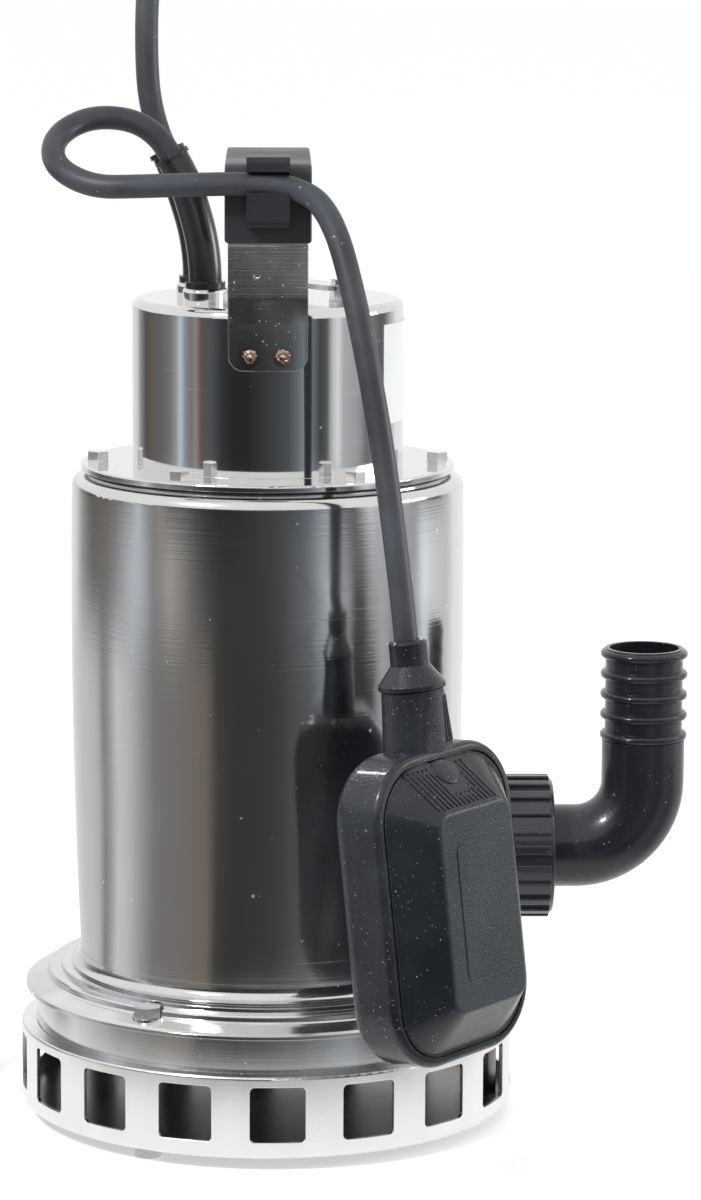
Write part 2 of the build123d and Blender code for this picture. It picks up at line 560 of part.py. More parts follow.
def report_cord(name, points, radius):
    solid, length = tube(points, radius)
    rounded = ", ".join(f"{r:.0f}" for r in bend_radii(points))
    print(f"{name}: length {length:.0f} mm, volume {solid.volume:.0f} of {pi * radius ** 2 * length:.0f} mm3")
    print(f"{name}: bend radii {rounded} mm, at least {min(bend_radii(points)) / (2 * radius):.1f} diameters")
    return solid


def between(a, b, share):
    return tuple(p + (q - p) * share for p, q in zip(a, b))


sleeve_low = cap_top + boss_height
sleeve_r = cable_r + sleeve_gap + sleeve_wall
float_cable_route = [
    (*sleeve_feet[0], cap_top - 8), (*sleeve_feet[0], 351), (-33, -20, 379.5), (-46, -17.5, 399.5),
    (-67.8, -17.2, 403), (-83, -30.6, 395.7), (-83, -49.4, 385.3), (-67.8, -62.8, 378), (-49.5, -66, 378.5),
    (-20, clip_cable_y, clip_cable_z), (clip_width / 2 + 0.4, clip_cable_y, clip_cable_z),
]
mains_cable_route = [
    (*sleeve_feet[1], cap_top - 8), (*sleeve_feet[1], 351), (-36, 7, 378), (-47, 10, 402), (-48.6, 10.5, 432),
    (-47, 12, 462), (-53, 14, 490), (-74, 17, 509), (-108, 21, 515), (-140, 26, 493), (-158, 30, 445),
    (-162, 34, 389), (-159, 39, 330), (-155, 43, 271), (-152, 46, 213), (-152, 46, 156), (-150, 44, 106),
    (-144, 30, 62), (-141, 2, 34.5), (-151, -27, 33.5),
]
for name, route in (("float_cable_sleeve", float_cable_route), ("mains_cable_sleeve", mains_cable_route)):
    foot_point = (*route[0][:2], sleeve_low)
    whole = FilletPolyline(foot_point, *route[1:4], radius=bend_radii(route)[:2])
    lean = whole.trim(0, sleeve_length / whole.length)
    sleeve = sweep(Plane(lean @ 0, z_dir=lean % 0) * Circle(sleeve_r), lean)
    sleeve += Pos(*foot_point) * Pos(0, 0, sleeve_flange_thickness / 2) * Cylinder(
        sleeve_flange_r, sleeve_flange_thickness)
    rim = Plane(lean @ 1, z_dir=lean % 1)
    sleeve += rim * Pos(0, 0, -0.9) * Cylinder(sleeve_r + 0.9, 1.8)
    sleeve -= sweep(Plane(lean @ 0, z_dir=lean % 0) * Circle(cable_r + sleeve_gap), lean)
    sleeve -= rim * Cylinder(cable_r + sleeve_gap, 6)
    save(name, sleeve)

save("float_cable_root", report_cord("float_cable_root", float_cable_route, cable_r))
save("mains_cable", report_cord("mains_cable", mains_cable_route, cable_r))

coil_centre, coil_mean_r, coil_width, coil_height = (-200.0, 0.0), 54.2, 37.4, 28.2
coil = ring(coil_mean_r + coil_width / 2, coil_mean_r - coil_width / 2, 0, coil_height)
coil = fillet(coil.edges().filter_by(GeomType.CIRCLE), 4.0)
save("mains_coil", Pos(*coil_centre, 0) * coil)

plug_r, plug_length, pin_r, pin_length, pin_spacing = 18.0, 42.0, 2.4, 19.0, 19.0
plug_tail_r, plug_tail_length = 7.0, 24.0
plug_place = (-172.0, 96.0, plug_r)
plug = turned(
    (0, 0), (plug_r, 0), (plug_r, plug_length * 0.55), (plug_r * 0.8, plug_length), (plug_tail_r + 2, plug_length + 1),
    (plug_tail_r, plug_length + plug_tail_length), (0, plug_length + plug_tail_length))
lay_plug = Pos(*plug_place) * Rot(0, -90, 0)
save("plug_body", lay_plug * plug)
pin = Pos(0, 0, -pin_length / 2) * Cylinder(pin_r, pin_length)
pin = fillet(pin.edges().group_by(Axis.Z)[0], 1.2)
save("plug_pins", *[lay_plug * Pos(0, side * pin_spacing / 2, 0) * pin for side in (-1, 1)])
plug_lead_start = plug_place[0] - plug_length - plug_tail_length
plug_lead_route = [
    (plug_lead_start, plug_place[1], plug_r), (-252, 96, plug_r), (-266, 88, 11), (-276, 68, 4.7),
    (-279, 42, cable_r), (-279, 18, cable_r),
]
save("plug_lead", report_cord("plug_lead", plug_lead_route, cable_r))

# ---------------------------------------------------------------- float switch
float_centre = (68.0, -113.0, 110.0)
float_up, float_face = Vector(-0.100, 0.035, 0.994), Vector(0.743, -0.669, 0)
float_across = float_face.cross(float_up).normalized()
float_plane = Plane(float_centre, x_dir=float_across, z_dir=float_up.normalized())
back_y, seam_y = -float_shell_depth + 4.5, 4.5
face_y = seam_y + float_cover_depth
half_length = float_length / 2


def slab(width, length, corner, low, high):
    """A rounded plate in the float's frame, from one depth to another."""
    outline = RectangleRounded(width, length, corner)
    return Pos(0, low, 0) * (Rot(90, 0, 0) * extrude(outline, -(high - low)))


def float_depth_face(width, length, corner, depth):
    return Pos(0, depth, 0) * (Rot(90, 0, 0) * RectangleRounded(width, length, corner))


float_shell = slab(float_width, float_length, float_corner_r, back_y, seam_y)
float_shell = fillet(float_shell.edges().group_by(Axis.Y)[0], 7.0)
float_shell = fillet(float_shell.edges().group_by(Axis.Y)[-1], 2.6)
cover_width, cover_length = float_width - 2 * cover_inset, float_length - 2 * cover_inset
cover_corner = float_corner_r - cover_inset
neck_low, neck_top = half_length - 9.0, half_length + neck_height
neck_y = (back_y + seam_y) / 2 + 1.0
neck = loft([
    Pos(0, neck_y, neck_low) * RectangleRounded(neck_width, 2 * 10.5, 10.4),
    Pos(0, neck_y, neck_top) * Circle(neck_throat_r - 1.0)])
float_shell += neck
recess_depth = 1.6
recess_width, recess_length, recess_corner = (v + 2 * cover_gap for v in (cover_width, cover_length, cover_corner))
float_shell -= slab(recess_width, recess_length, recess_corner - cover_gap, seam_y - recess_depth, seam_y + 3)
hollow_width, hollow_length = float_width - 16, float_length - 16
hollow_corner = float_corner_r - 8
float_shell -= slab(hollow_width, hollow_length, hollow_corner, back_y + float_wall, seam_y)
float_shell -= Pos(0, neck_y, half_length) * Cylinder(cable_r + 1.0, 60)
gland_cone_top = neck_top + gland_cone_height
gland_top = gland_cone_top + gland_height

float_cover = slab(cover_width, cover_length, cover_corner, seam_y - recess_depth, seam_y)
cover_rise = loft([
    float_depth_face(cover_width - 2, cover_length - 2, cover_corner - 1, seam_y),
    float_depth_face(plateau_width, plateau_length, 6.0, face_y)])
float_cover += fillet(cover_rise.edges().group_by(Axis.Y)[-1], 2.5)
float_cover -= slab(hollow_width - 8, hollow_length - 8, hollow_corner - 4, 0, seam_y + 2.0)
float_cover -= loft([
    float_depth_face(hollow_width - 8, hollow_length - 8, hollow_corner - 4, seam_y + 2.0),
    float_depth_face(plateau_width - 8, plateau_length - 8, 4.0, face_y - float_wall)])

gland = turned(
    (cable_r + sleeve_gap, neck_top + 0.6), (neck_throat_r, neck_top + 0.6), (neck_throat_r, neck_top + 2.2),
    (gland_r, gland_cone_top), (gland_r, gland_top - 1.0), (gland_r - 1.0, gland_top), (cable_r + sleeve_gap, gland_top))
gland += ring(neck_throat_r - 2.0, cable_r + sleeve_gap, neck_top, neck_top + 0.6)
float_gland = Pos(0, neck_y, 0) * gland


# the switch inside: a steel ball in a channel tips a lever against the microswitch
ball_x, ball_z = -10.0, -30.0
chassis_floor = back_y + float_wall
chassis_thickness = 2.5
ball_y = chassis_floor + chassis_thickness + seat_gap + switch_ball_r
rail_depth = 13.0
rail_y = chassis_floor + chassis_thickness + rail_depth / 2
chassis = Pos(0, chassis_floor + chassis_thickness / 2, 0) * Box(hollow_width - 10, chassis_thickness, 76)
ball_room = switch_ball_r + seat_gap
channel_low, channel_high = ball_z - ball_room, ball_z + switch_ball_travel + ball_room
channel_middle, channel_length = (channel_low + channel_high) / 2, channel_high - channel_low
chassis += Pos(ball_x - ball_room - 0.8, rail_y, channel_middle) * Box(1.6, rail_depth, channel_length + 3.2)
for stop_z in (channel_low - 0.8, channel_high + 0.8):
    chassis += Pos(ball_x - 3.0, rail_y, stop_z) * Box(2 * ball_room - 6.0, rail_depth, 1.6)
pivot_r, pivot_x = 1.0, ball_x + switch_ball_r + lever_slack + 2.0
upright = Rot(90, 0, 0)
chassis += Pos(pivot_x, rail_y, ball_z) * (upright * Cylinder(pivot_r, rail_depth))
lever_length, lever_hub_r, lever_thickness, lever_depth = 36.0, 2.0, 1.2, 8.0
lever = Pos(0, 0, 0) * (upright * Cylinder(lever_hub_r, lever_depth))
lever += Pos(-lever_hub_r + lever_thickness / 2, 0, lever_length / 2) * Box(lever_thickness, lever_depth, lever_length)
lever -= upright * Cylinder(pivot_r + running_gap, lever_depth + 2)
lever_y = chassis_floor + chassis_thickness + seat_gap + lever_depth / 2
switch_lever = Pos(pivot_x, lever_y, ball_z) * (Rot(0, -lever_lean, 0) * lever)
button_tip = pivot_x - lever_hub_r + lever_thickness + seat_gap
microswitch_x, microswitch_width = pivot_x + 3.0, 9.0
microswitch = Pos(microswitch_x + microswitch_width / 2, lever_y, -4) * Box(microswitch_width, lever_depth, 20)
button_length = microswitch_x - button_tip
microswitch += Pos(button_tip + button_length / 2, lever_y, -1) * Box(button_length, 3, 2.5)
switch_ball = Pos(ball_x, ball_y, ball_z) * Sphere(switch_ball_r)

for name, piece in (
        ("float_shell", float_shell), ("float_cover", float_cover), ("float_gland", float_gland),
        ("switch_chassis", chassis), ("switch_lever", switch_lever), ("microswitch", microswitch),
        ("switch_ball", switch_ball)):
    save(name, float_plane.location * piece)

# the lower float cable: a ball end at the clip, the route, and a straight end in the gland
hinge = (clip_width / 2 + 0.4 + seat_gap + cable_r, clip_cable_y, clip_cable_z)


def in_float(x, y, z):
    """A point in the float's frame, in the pump's frame."""
    return tuple((float_plane.location * Pos(x, y, z)).position)


cable_end, cable_turn = in_float(0, neck_y, gland_cone_top - 4), in_float(0, neck_y, gland_top + 20)
float_cable_lower_route = [
    hinge, (24, -67, 370), (34, -80, 334), (44, -93, 280), cable_turn, cable_end,
]
float_cable_lower = report_cord("float_cable_lower", float_cable_lower_route, cable_r)
float_cable_lower += Pos(*hinge) * Sphere(cable_r)
save("float_cable_lower", float_cable_lower)

print("float hinge", hinge)
print("float axis up", tuple(float_plane.z_dir), "face", tuple(float_plane.y_dir))
print("lever pivot", in_float(pivot_x, lever_y, ball_z))
print("levels: casing", casing_top, "jacket", jacket_top, "flange", flange_top, "cap", cap_top)
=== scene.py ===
import math

import bmesh
import bpy
from mathutils import Matrix, Vector
from mathutils.bvhtree import BVHTree


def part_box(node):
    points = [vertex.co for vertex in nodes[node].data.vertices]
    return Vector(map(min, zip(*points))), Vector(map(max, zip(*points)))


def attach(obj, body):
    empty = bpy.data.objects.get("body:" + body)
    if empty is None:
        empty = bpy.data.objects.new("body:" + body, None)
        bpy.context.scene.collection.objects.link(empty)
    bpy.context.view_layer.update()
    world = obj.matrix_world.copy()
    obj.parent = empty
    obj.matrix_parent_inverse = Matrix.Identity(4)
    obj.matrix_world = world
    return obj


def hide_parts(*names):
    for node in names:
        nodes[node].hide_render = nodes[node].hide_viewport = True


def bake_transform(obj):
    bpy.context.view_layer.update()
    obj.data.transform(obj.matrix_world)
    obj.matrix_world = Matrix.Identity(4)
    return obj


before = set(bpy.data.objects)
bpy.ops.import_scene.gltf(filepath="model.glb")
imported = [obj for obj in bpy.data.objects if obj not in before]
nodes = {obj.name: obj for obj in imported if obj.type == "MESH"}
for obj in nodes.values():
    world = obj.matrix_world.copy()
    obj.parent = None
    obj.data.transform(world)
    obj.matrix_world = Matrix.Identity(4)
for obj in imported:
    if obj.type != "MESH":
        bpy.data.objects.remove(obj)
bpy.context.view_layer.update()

# ---------------------------------------------------------------- camera
# A long lens, 1.8 m in front of the pump and half a metre up. It looks about nine degrees down on the
# pump, and its picture keeps plain colours.
lens_data = bpy.data.cameras.new("camera")
lens_data.lens = 136.3
lens_data.clip_end = 60
camera = bpy.data.objects.new("camera", lens_data)
bpy.context.scene.collection.objects.link(camera)
camera_spot = (0, -1.8, 0.5046)
look_down, look_right, tilt = math.radians(9.35), math.radians(1.06), math.radians(0.264)
camera.matrix_world = (
    Matrix.Translation(camera_spot)
    @ Matrix.Rotation(-look_right, 4, "Z")
    @ Matrix.Rotation(math.pi / 2 - look_down, 4, "X")
    @ Matrix.Rotation(tilt, 4, "Z")
)
bpy.context.scene.camera = camera
bpy.context.scene.view_settings.view_transform = "Standard"


# ---------------------------------------------------------------- studio
# A white room: soft light from all round, a white floor that keeps a faint shadow, and one tall ring of
# grey and dark cards round the pump. The ring, and the floor's own grey further out, show only in gloss.


def new_node(tree, kind, **settings):
    """Adds a shader node; settings name its properties, and its inputs by their labels."""
    node = tree.nodes.new(kind)
    for key, value in settings.items():
        label = key.replace("_", " ").title()
        if label in node.inputs:
            node.inputs[label].default_value = value
        else:
            setattr(node, key, value)
    return node


world = bpy.data.worlds.new("white_room")
bpy.context.scene.world = world
world.use_nodes = True
tree = world.node_tree
tree.nodes.clear()
room_light = new_node(tree, "ShaderNodeBackground", color=(0.97, 0.99, 1.0, 1), strength=0.62)
room_seen = new_node(tree, "ShaderNodeBackground", color=(1, 1, 1, 1), strength=1.0)
ray = new_node(tree, "ShaderNodeLightPath")
seen = new_node(tree, "ShaderNodeMath", operation="MAXIMUM")
seen_through = new_node(tree, "ShaderNodeMath", operation="MAXIMUM")
mix = new_node(tree, "ShaderNodeMixShader")
out = new_node(tree, "ShaderNodeOutputWorld")
tree.links.new(ray.outputs["Is Camera Ray"], seen.inputs[0])
tree.links.new(ray.outputs["Is Glossy Ray"], seen.inputs[1])
tree.links.new(seen.outputs[0], seen_through.inputs[0])
tree.links.new(ray.outputs["Is Transmission Ray"], seen_through.inputs[1])
tree.links.new(seen_through.outputs[0], mix.inputs[0])
tree.links.new(room_light.outputs[0], mix.inputs[1])
tree.links.new(room_seen.outputs[0], mix.inputs[2])
tree.links.new(mix.outputs[0], out.inputs["Surface"])


def new_group(name, inputs, outputs):
    """An empty shader node group with its named inputs and outputs."""
    group = bpy.data.node_groups.new(name, "ShaderNodeTree")
    for label, kind, value in inputs:
        socket = group.interface.new_socket(name=label, in_out="INPUT", socket_type=kind)
        if kind == "NodeSocketFloat":
            socket.default_value = value
    for label, kind in outputs:
        group.interface.new_socket(name=label, in_out="OUTPUT", socket_type=kind)
    return group, group.nodes.new("NodeGroupInput"), group.nodes.new("NodeGroupOutput")


def chain(tree, *steps):
    """Joins (node, output) to (node, input) pairs, two by two."""
    for start, finish in zip(steps[::2], steps[1::2]):
        tree.links.new(start[0].outputs[start[1]], finish[0].inputs[finish[1]])


# how light the cards are: (degrees round from the front, + to the right; grey; warm, or cool below 0).
# The low row shows in the jacket and on the floor, the middle row at the jacket's top, and the high
# row in the cap.
low_cards = [
    (-180, 1.0, 0), (-150, 0.78, 0), (-123, 0.68, 0), (-113, 0.62, 0), (-107, 0.28, 0), (-101, 0.45, -0.04),
    (-94, 0.78, -0.04), (-84, 0.64, -0.06), (-75, 0.42, 0), (-66, 0.24, -0.04), (-57, 0.22, 0.05),
    (-40, 0.20, 0.25), (-33, 0.17, 0.3), (-28, 0.065, 0.05), (-18, 0.048, 0.03), (0, 0.055, -0.12),
    (12, 0.082, -0.05), (22, 0.13, -0.1), (29, 0.27, -0.18), (35, 0.30, -0.18), (40, 0.15, -0.1),
    (45, 0.04, 0), (60, 0.05, 0), (66, 0.50, -0.05), (76, 0.30, -0.05), (86, 0.11, -0.1), (98, 0.70, -0.1),
    (120, 0.70, 0), (134, 1.0, 0), (180, 1.0, 0),
]
middle_cards = [
    (-180, 1.0, 0), (-145, 0.85, -0.05), (-131, 0.36, 0.05), (-118, 0.17, 0.12), (-104, 0.21, 0.12),
    (-94, 0.31, 0), (-86, 0.52, -0.08), (-79, 0.68, -0.12), (-72, 0.56, -0.16), (-66, 0.30, -0.1),
    (-60, 0.36, 0.15), (-55, 0.45, 0.15), (-46, 0.28, 0.08), (-40, 0.16, 0), (-33, 0.08, 0.03),
    (-25, 0.05, 0), (-4, 0.055, -0.1), (8, 0.088, 0), (16, 0.14, -0.08), (24, 0.26, -0.15),
    (33, 0.72, -0.13), (40, 0.66, -0.1), (45, 0.38, -0.05), (49, 0.08, 0), (54, 0.06, 0), (58, 0.45, 0),
    (67, 0.54, -0.05), (78, 0.14, -0.1), (90, 0.17, -0.15), (97, 0.85, -0.1), (124, 0.75, 0), (134, 1.0, 0),
]
high_cards = [
    (-180, 1.0, 0), (-142, 0.80, -0.05), (-133, 0.34, 0), (-122, 0.11, 0.2), (-113, 0.13, 0.3),
    (-99, 0.16, 0.05), (-88, 0.22, 0), (-81, 0.37, -0.1), (-76, 0.72, -0.2), (-71, 0.34, -0.25),
    (-65, 0.24, -0.05), (-61, 0.33, 0.3), (-56, 0.12, 0.15), (-47, 0.11, -0.15), (-38, 0.048, -0.1),
    (-28, 0.030, 0), (-16, 0.028, 0), (-7, 0.045, -0.15), (5, 0.070, -0.12), (16, 0.10, -0.15),
    (24, 0.19, -0.25), (31, 0.36, -0.25), (37, 0.20, -0.25), (43, 0.07, -0.1), (49, 0.13, -0.05),
    (54, 0.70, 0), (59, 0.92, 0), (64, 0.56, -0.08), (78, 0.44, -0.05), (88, 0.14, -0.15), (112, 0.16, 0),
    (134, 1.0, 0),
]
card_shades, given, made = new_group(
    "card_shades",
    [("Vector", "NodeSocketVector", None)],
    [("Color", "NodeSocketColor"), ("Radius", "NodeSocketFloat")],
)
split = new_node(card_shades, "ShaderNodeSeparateXYZ")
forward = new_node(card_shades, "ShaderNodeMath", operation="MULTIPLY")
forward.inputs[1].default_value = -1
turn = new_node(card_shades, "ShaderNodeMath", operation="ARCTAN2")
share = new_node(card_shades, "ShaderNodeMapRange", from_min=-math.pi, from_max=math.pi)
middle = new_node(card_shades, "ShaderNodeMapRange", from_min=0.085, from_max=0.13)
upper = new_node(card_shades, "ShaderNodeMapRange", from_min=0.165, from_max=0.195)
low_rows = new_node(card_shades, "ShaderNodeMix", data_type="RGBA")
rows = new_node(card_shades, "ShaderNodeMix", data_type="RGBA")
flat = new_node(card_shades, "ShaderNodeVectorMath", operation="MULTIPLY")
flat.inputs[1].default_value = (1, 1, 0)
away = new_node(card_shades, "ShaderNodeVectorMath", operation="LENGTH")
ramps = []
for greys in (low_cards, middle_cards, high_cards):
    ramp = new_node(card_shades, "ShaderNodeValToRGB")
    for step, (degrees, grey, warm) in enumerate(greys):
        position = (degrees + 180) / 360
        if step < 2:
            stop = ramp.color_ramp.elements[step]
            stop.position = position
        else:
            stop = ramp.color_ramp.elements.new(position)
        stop.color = (grey * (1 + warm / 2), grey, grey * (1 - warm / 2), 1)
    ramps.append(ramp)
chain(
    card_shades,
    (given, "Vector"), (split, 0), (split, "Y"), (forward, 0), (split, "X"), (turn, 0),
    (forward, 0), (turn, 1), (turn, 0), (share, "Value"), (share, 0), (ramps[0], 0),
    (share, 0), (ramps[1], 0), (share, 0), (ramps[2], 0), (split, "Z"), (middle, "Value"),
    (middle, 0), (low_rows, 0), (ramps[0], 0), (low_rows, 6), (ramps[1], 0), (low_rows, 7),
    (split, "Z"), (upper, "Value"), (upper, 0), (rows, 0), (low_rows, 2), (rows, 6),
    (ramps[2], 0), (rows, 7), (rows, 2), (made, "Color"), (given, "Vector"), (flat, 0),
    (flat, 0), (away, 0), (away, "Value"), (made, "Radius"),
)

floor_r, floor_drop = 14, 0.0002
floor_bm = bmesh.new()
bmesh.ops.create_circle(floor_bm, cap_ends=True, segments=96, radius=floor_r)
floor_mesh = bpy.data.meshes.new("floor")
floor_bm.to_mesh(floor_mesh)
floor_bm.free()
floor = bpy.data.objects.new("floor", floor_mesh)
bpy.context.scene.collection.objects.link(floor)
floor.location.z = -floor_drop
floor_paint = bpy.data.materials.new("floor_paint")
floor_paint.use_nodes = True
tree = floor_paint.node_tree
tree.nodes.clear()
place = new_node(tree, "ShaderNodeTexCoord")
shades = tree.nodes.new("ShaderNodeGroup")
shades.node_tree = card_shades
further = new_node(tree, "ShaderNodeMapRange", from_min=0.195, from_max=0.262)
reflected = new_node(tree, "ShaderNodeMix", data_type="RGBA")
reflected.inputs[6].default_value = (1.0, 1.0, 1.0, 1)
mirror_glow = new_node(tree, "ShaderNodeEmission", strength=1.0)
paper = new_node(tree, "ShaderNodeBsdfDiffuse", color=(0.80, 0.80, 0.80, 1))
glow = new_node(tree, "ShaderNodeEmission", color=(1, 1, 1, 1), strength=0.505)
ray = new_node(tree, "ShaderNodeLightPath")
lit = new_node(tree, "ShaderNodeAddShader")
pick = new_node(tree, "ShaderNodeMixShader")
pick_gloss = new_node(tree, "ShaderNodeMixShader")
out = new_node(tree, "ShaderNodeOutputMaterial")
chain(
    tree,
    (place, "Object"), (shades, "Vector"), (shades, "Radius"), (further, "Value"),
    (further, 0), (reflected, 0), (shades, "Color"), (reflected, 7), (reflected, 2), (mirror_glow, "Color"),
    (paper, 0), (lit, 0), (glow, 0), (lit, 1), (ray, "Is Camera Ray"), (pick, 0), (paper, 0), (pick, 1),
    (lit, 0), (pick, 2), (ray, "Is Glossy Ray"), (pick_gloss, 0), (pick, 0), (pick_gloss, 1),
    (mirror_glow, 0), (pick_gloss, 2), (pick_gloss, 0), (out, "Surface"),
)
floor_mesh.materials.append(floor_paint)

card_r, card_height, card_foot = 0.62, 0.308, 0.012
card_bm = bmesh.new()
bmesh.ops.create_circle(card_bm, segments=180, radius=card_r)
bmesh.ops.translate(card_bm, vec=(0, 0, card_foot), verts=card_bm.verts)
wall = bmesh.ops.extrude_edge_only(card_bm, edges=card_bm.edges[:])
bmesh.ops.translate(
    card_bm, vec=(0, 0, card_height), verts=[v for v in wall["geom"] if isinstance(v, bmesh.types.BMVert)]
)
card_mesh = bpy.data.meshes.new("studio_cards")
card_bm.to_mesh(card_mesh)
card_bm.free()
cards = bpy.data.objects.new("studio_cards", card_mesh)
bpy.context.scene.collection.objects.link(cards)
card_paint = bpy.data.materials.new("card_paint")
card_paint.use_nodes = True
tree = card_paint.node_tree
tree.nodes.clear()
place = new_node(tree, "ShaderNodeTexCoord")
shades = tree.nodes.new("ShaderNodeGroup")
shades.node_tree = card_shades
glow = new_node(tree, "ShaderNodeEmission", strength=1.0)
out = new_node(tree, "ShaderNodeOutputMaterial")
chain(
    tree,
    (place, "Object"), (shades, "Vector"), (shades, "Color"), (glow, "Color"), (glow, 0), (out, "Surface"),
)
card_mesh.materials.append(card_paint)
cards.visible_camera = cards.visible_diffuse = cards.visible_shadow = cards.visible_transmission = False

# two soft boxes: the larger low at the right, the smaller high at the front left
for name, watts, size, spot in (
    ("soft_box_right", 7.0, 0.5, (1.25, 0.05, 0.36)),
    ("soft_box_left", 18.0, 0.22, (-0.9, -0.9, 1.3)),
):
    lamp_data = bpy.data.lights.new(name, "AREA")
    lamp_data.shape = "SQUARE"
    lamp_data.size = size
    lamp_data.energy = watts
    lamp = bpy.data.objects.new(name, lamp_data)
    bpy.context.scene.collection.objects.link(lamp)
    aim = Vector((0, 0, 0.2)) - Vector(spot)
    lamp.matrix_world = Matrix.Translation(spot) @ aim.to_track_quat("-Z", "Y").to_matrix().to_4x4()


# ---------------------------------------------------------------- mains cable
# Three-core cable in black rubber, 9.2 mm thick and 5 m long. It rises out of its sleeve, arches over
# to the floor and is wound into a neat coil of twelve turns, three layers of four, with its plug beside it.
cable_thick = 0.0092


def cord_curve(name, points):
    """One smooth line that the points steer, as thick as the cable."""
    curve = bpy.data.curves.new(name, "CURVE")
    curve.dimensions = "3D"
    spline = curve.splines.new("NURBS")
    spline.points.add(len(points) - 1)
    for point, place in zip(spline.points, points):
        point.co = (*place, 1)
        point.radius = cable_thick / 2
    spline.order_u = 3
    spline.use_endpoint_u = True
    spline.resolution_u = 6
    curve.bevel_depth = 1
    curve.bevel_resolution = 5
    curve.use_fill_caps = True
    obj = bpy.data.objects.new(name, curve)
    bpy.context.scene.collection.objects.link(obj)
    return obj


mains_route = [
    (-0.0275, 0.005, 0.3221), (-0.0275, 0.005, 0.351), (-0.036, 0.007, 0.378), (-0.047, 0.010, 0.402),
    (-0.0486, 0.0105, 0.432), (-0.047, 0.012, 0.462), (-0.053, 0.014, 0.490), (-0.074, 0.017, 0.509),
    (-0.108, 0.021, 0.515), (-0.140, 0.026, 0.493), (-0.158, 0.030, 0.445), (-0.162, 0.034, 0.389),
    (-0.159, 0.039, 0.330), (-0.155, 0.043, 0.271), (-0.152, 0.046, 0.213), (-0.152, 0.046, 0.156),
    (-0.150, 0.044, 0.106), (-0.144, 0.030, 0.062), (-0.141, 0.002, 0.0345), (-0.151, -0.027, 0.0335),
]
coil_middle = Vector((-0.200, 0, 0))
coil_pitch = 0.00935
coil_radii = [0.0402 + coil_pitch * step for step in range(4)]
coil_floors = [cable_thick / 2 + 0.0002 + coil_pitch * layer for layer in range(3)]


def coil_place(degrees):
    """Radius and height of the winding after so many degrees, counted clockwise from the +X side."""
    over_top = coil_floors[2] + coil_pitch
    steps = [
        (60, coil_radii[2] - 0.006, over_top), (105, coil_radii[0], over_top),
        (150, coil_radii[0], coil_floors[2]),
    ]
    for turn in (1, 2, 3):
        steps += [(50 + 360 * turn, coil_radii[turn - 1], coil_floors[2])]
        steps += [(100 + 360 * turn, coil_radii[turn], coil_floors[2])]
    steps += [(1440, coil_radii[3], coil_floors[2]), (1490, coil_radii[3], coil_floors[1])]
    for turn in (5, 6, 7):
        steps += [(360 * turn - 50, coil_radii[8 - turn], coil_floors[1])]
        steps += [(360 * turn, coil_radii[7 - turn], coil_floors[1])]
    steps += [(2780, coil_radii[0], coil_floors[1]), (2830, coil_radii[0], coil_floors[0])]
    for turn in (9, 10, 11):
        steps += [(360 * turn - 150, coil_radii[turn - 9], coil_floors[0])]
        steps += [(360 * turn - 100, coil_radii[turn - 8], coil_floors[0])]
    steps += [(4200, coil_radii[3], coil_floors[0])]
    for (a, ra, za), (b, rb, zb) in zip(steps, steps[1:]):
        if degrees <= b:
            share = min(1, max(0, (degrees - a) / (b - a)))
            ease = share * share * (3 - 2 * share)
            return ra + (rb - ra) * ease, za + (zb - za) * ease
    return coil_radii[3], coil_floors[0]


coil_points = []
coil_step, coil_start, coil_end = 18, 60, 4086
for count in range(coil_start // coil_step + 1, coil_end // coil_step + 1):
    degrees = count * coil_step
    radius, height = coil_place(degrees)
    # a spline cuts inside its points, so they stand out by what 18 degrees needs
    radius /= (1 + math.cos(math.radians(coil_step))) / 2 * 0.5 + 0.5
    turn = -math.radians(degrees)
    coil_points.append((coil_middle.x + radius * math.cos(turn), radius * math.sin(turn), height))
lead_route = [
    (-0.2790, 0.018, 0.0048), (-0.2790, 0.042, 0.0048), (-0.276, 0.068, 0.0047), (-0.266, 0.088, 0.011),
    (-0.252, 0.096, 0.018), (-0.236, 0.096, 0.018),
]
mains_cable = cord_curve("mains_cable_whole", mains_route + coil_points + lead_route)
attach(mains_cable, "pump")
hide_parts("mains_cable", "mains_coil", "plug_lead")
# the coil and its plug are left out of the steel's reflections
mains_cable.visible_glossy = nodes["plug_body"].visible_glossy = False

# ---------------------------------------------------------------- float cable
# The same cable, from its sleeve round one tight loop, through the clip and down to the float.
float_route = [
    (-0.0246, -0.021, 0.3221), (-0.0246, -0.021, 0.351), (-0.033, -0.020, 0.3795), (-0.046, -0.0175, 0.3995),
    (-0.0678, -0.0172, 0.403), (-0.083, -0.0306, 0.3957), (-0.083, -0.0494, 0.3853),
    (-0.0678, -0.0628, 0.378),
    (-0.0495, -0.066, 0.3785), (-0.020, -0.0642, 0.3795), (0.0087, -0.0642, 0.3795), (0.024, -0.067, 0.370),
    (0.034, -0.080, 0.334), (0.044, -0.093, 0.280), (0.0513, -0.1054, 0.2236), (0.0537, -0.1060, 0.1985),
]
guide = cord_curve("float_cable_guide", float_route)
guide.data.bevel_depth = 0
guide.data.resolution_u = 10
line = bpy.data.meshes.new_from_object(guide.evaluated_get(bpy.context.evaluated_depsgraph_get()))
float_line = [v.co.copy() for v in line.vertices]
bpy.data.objects.remove(guide)


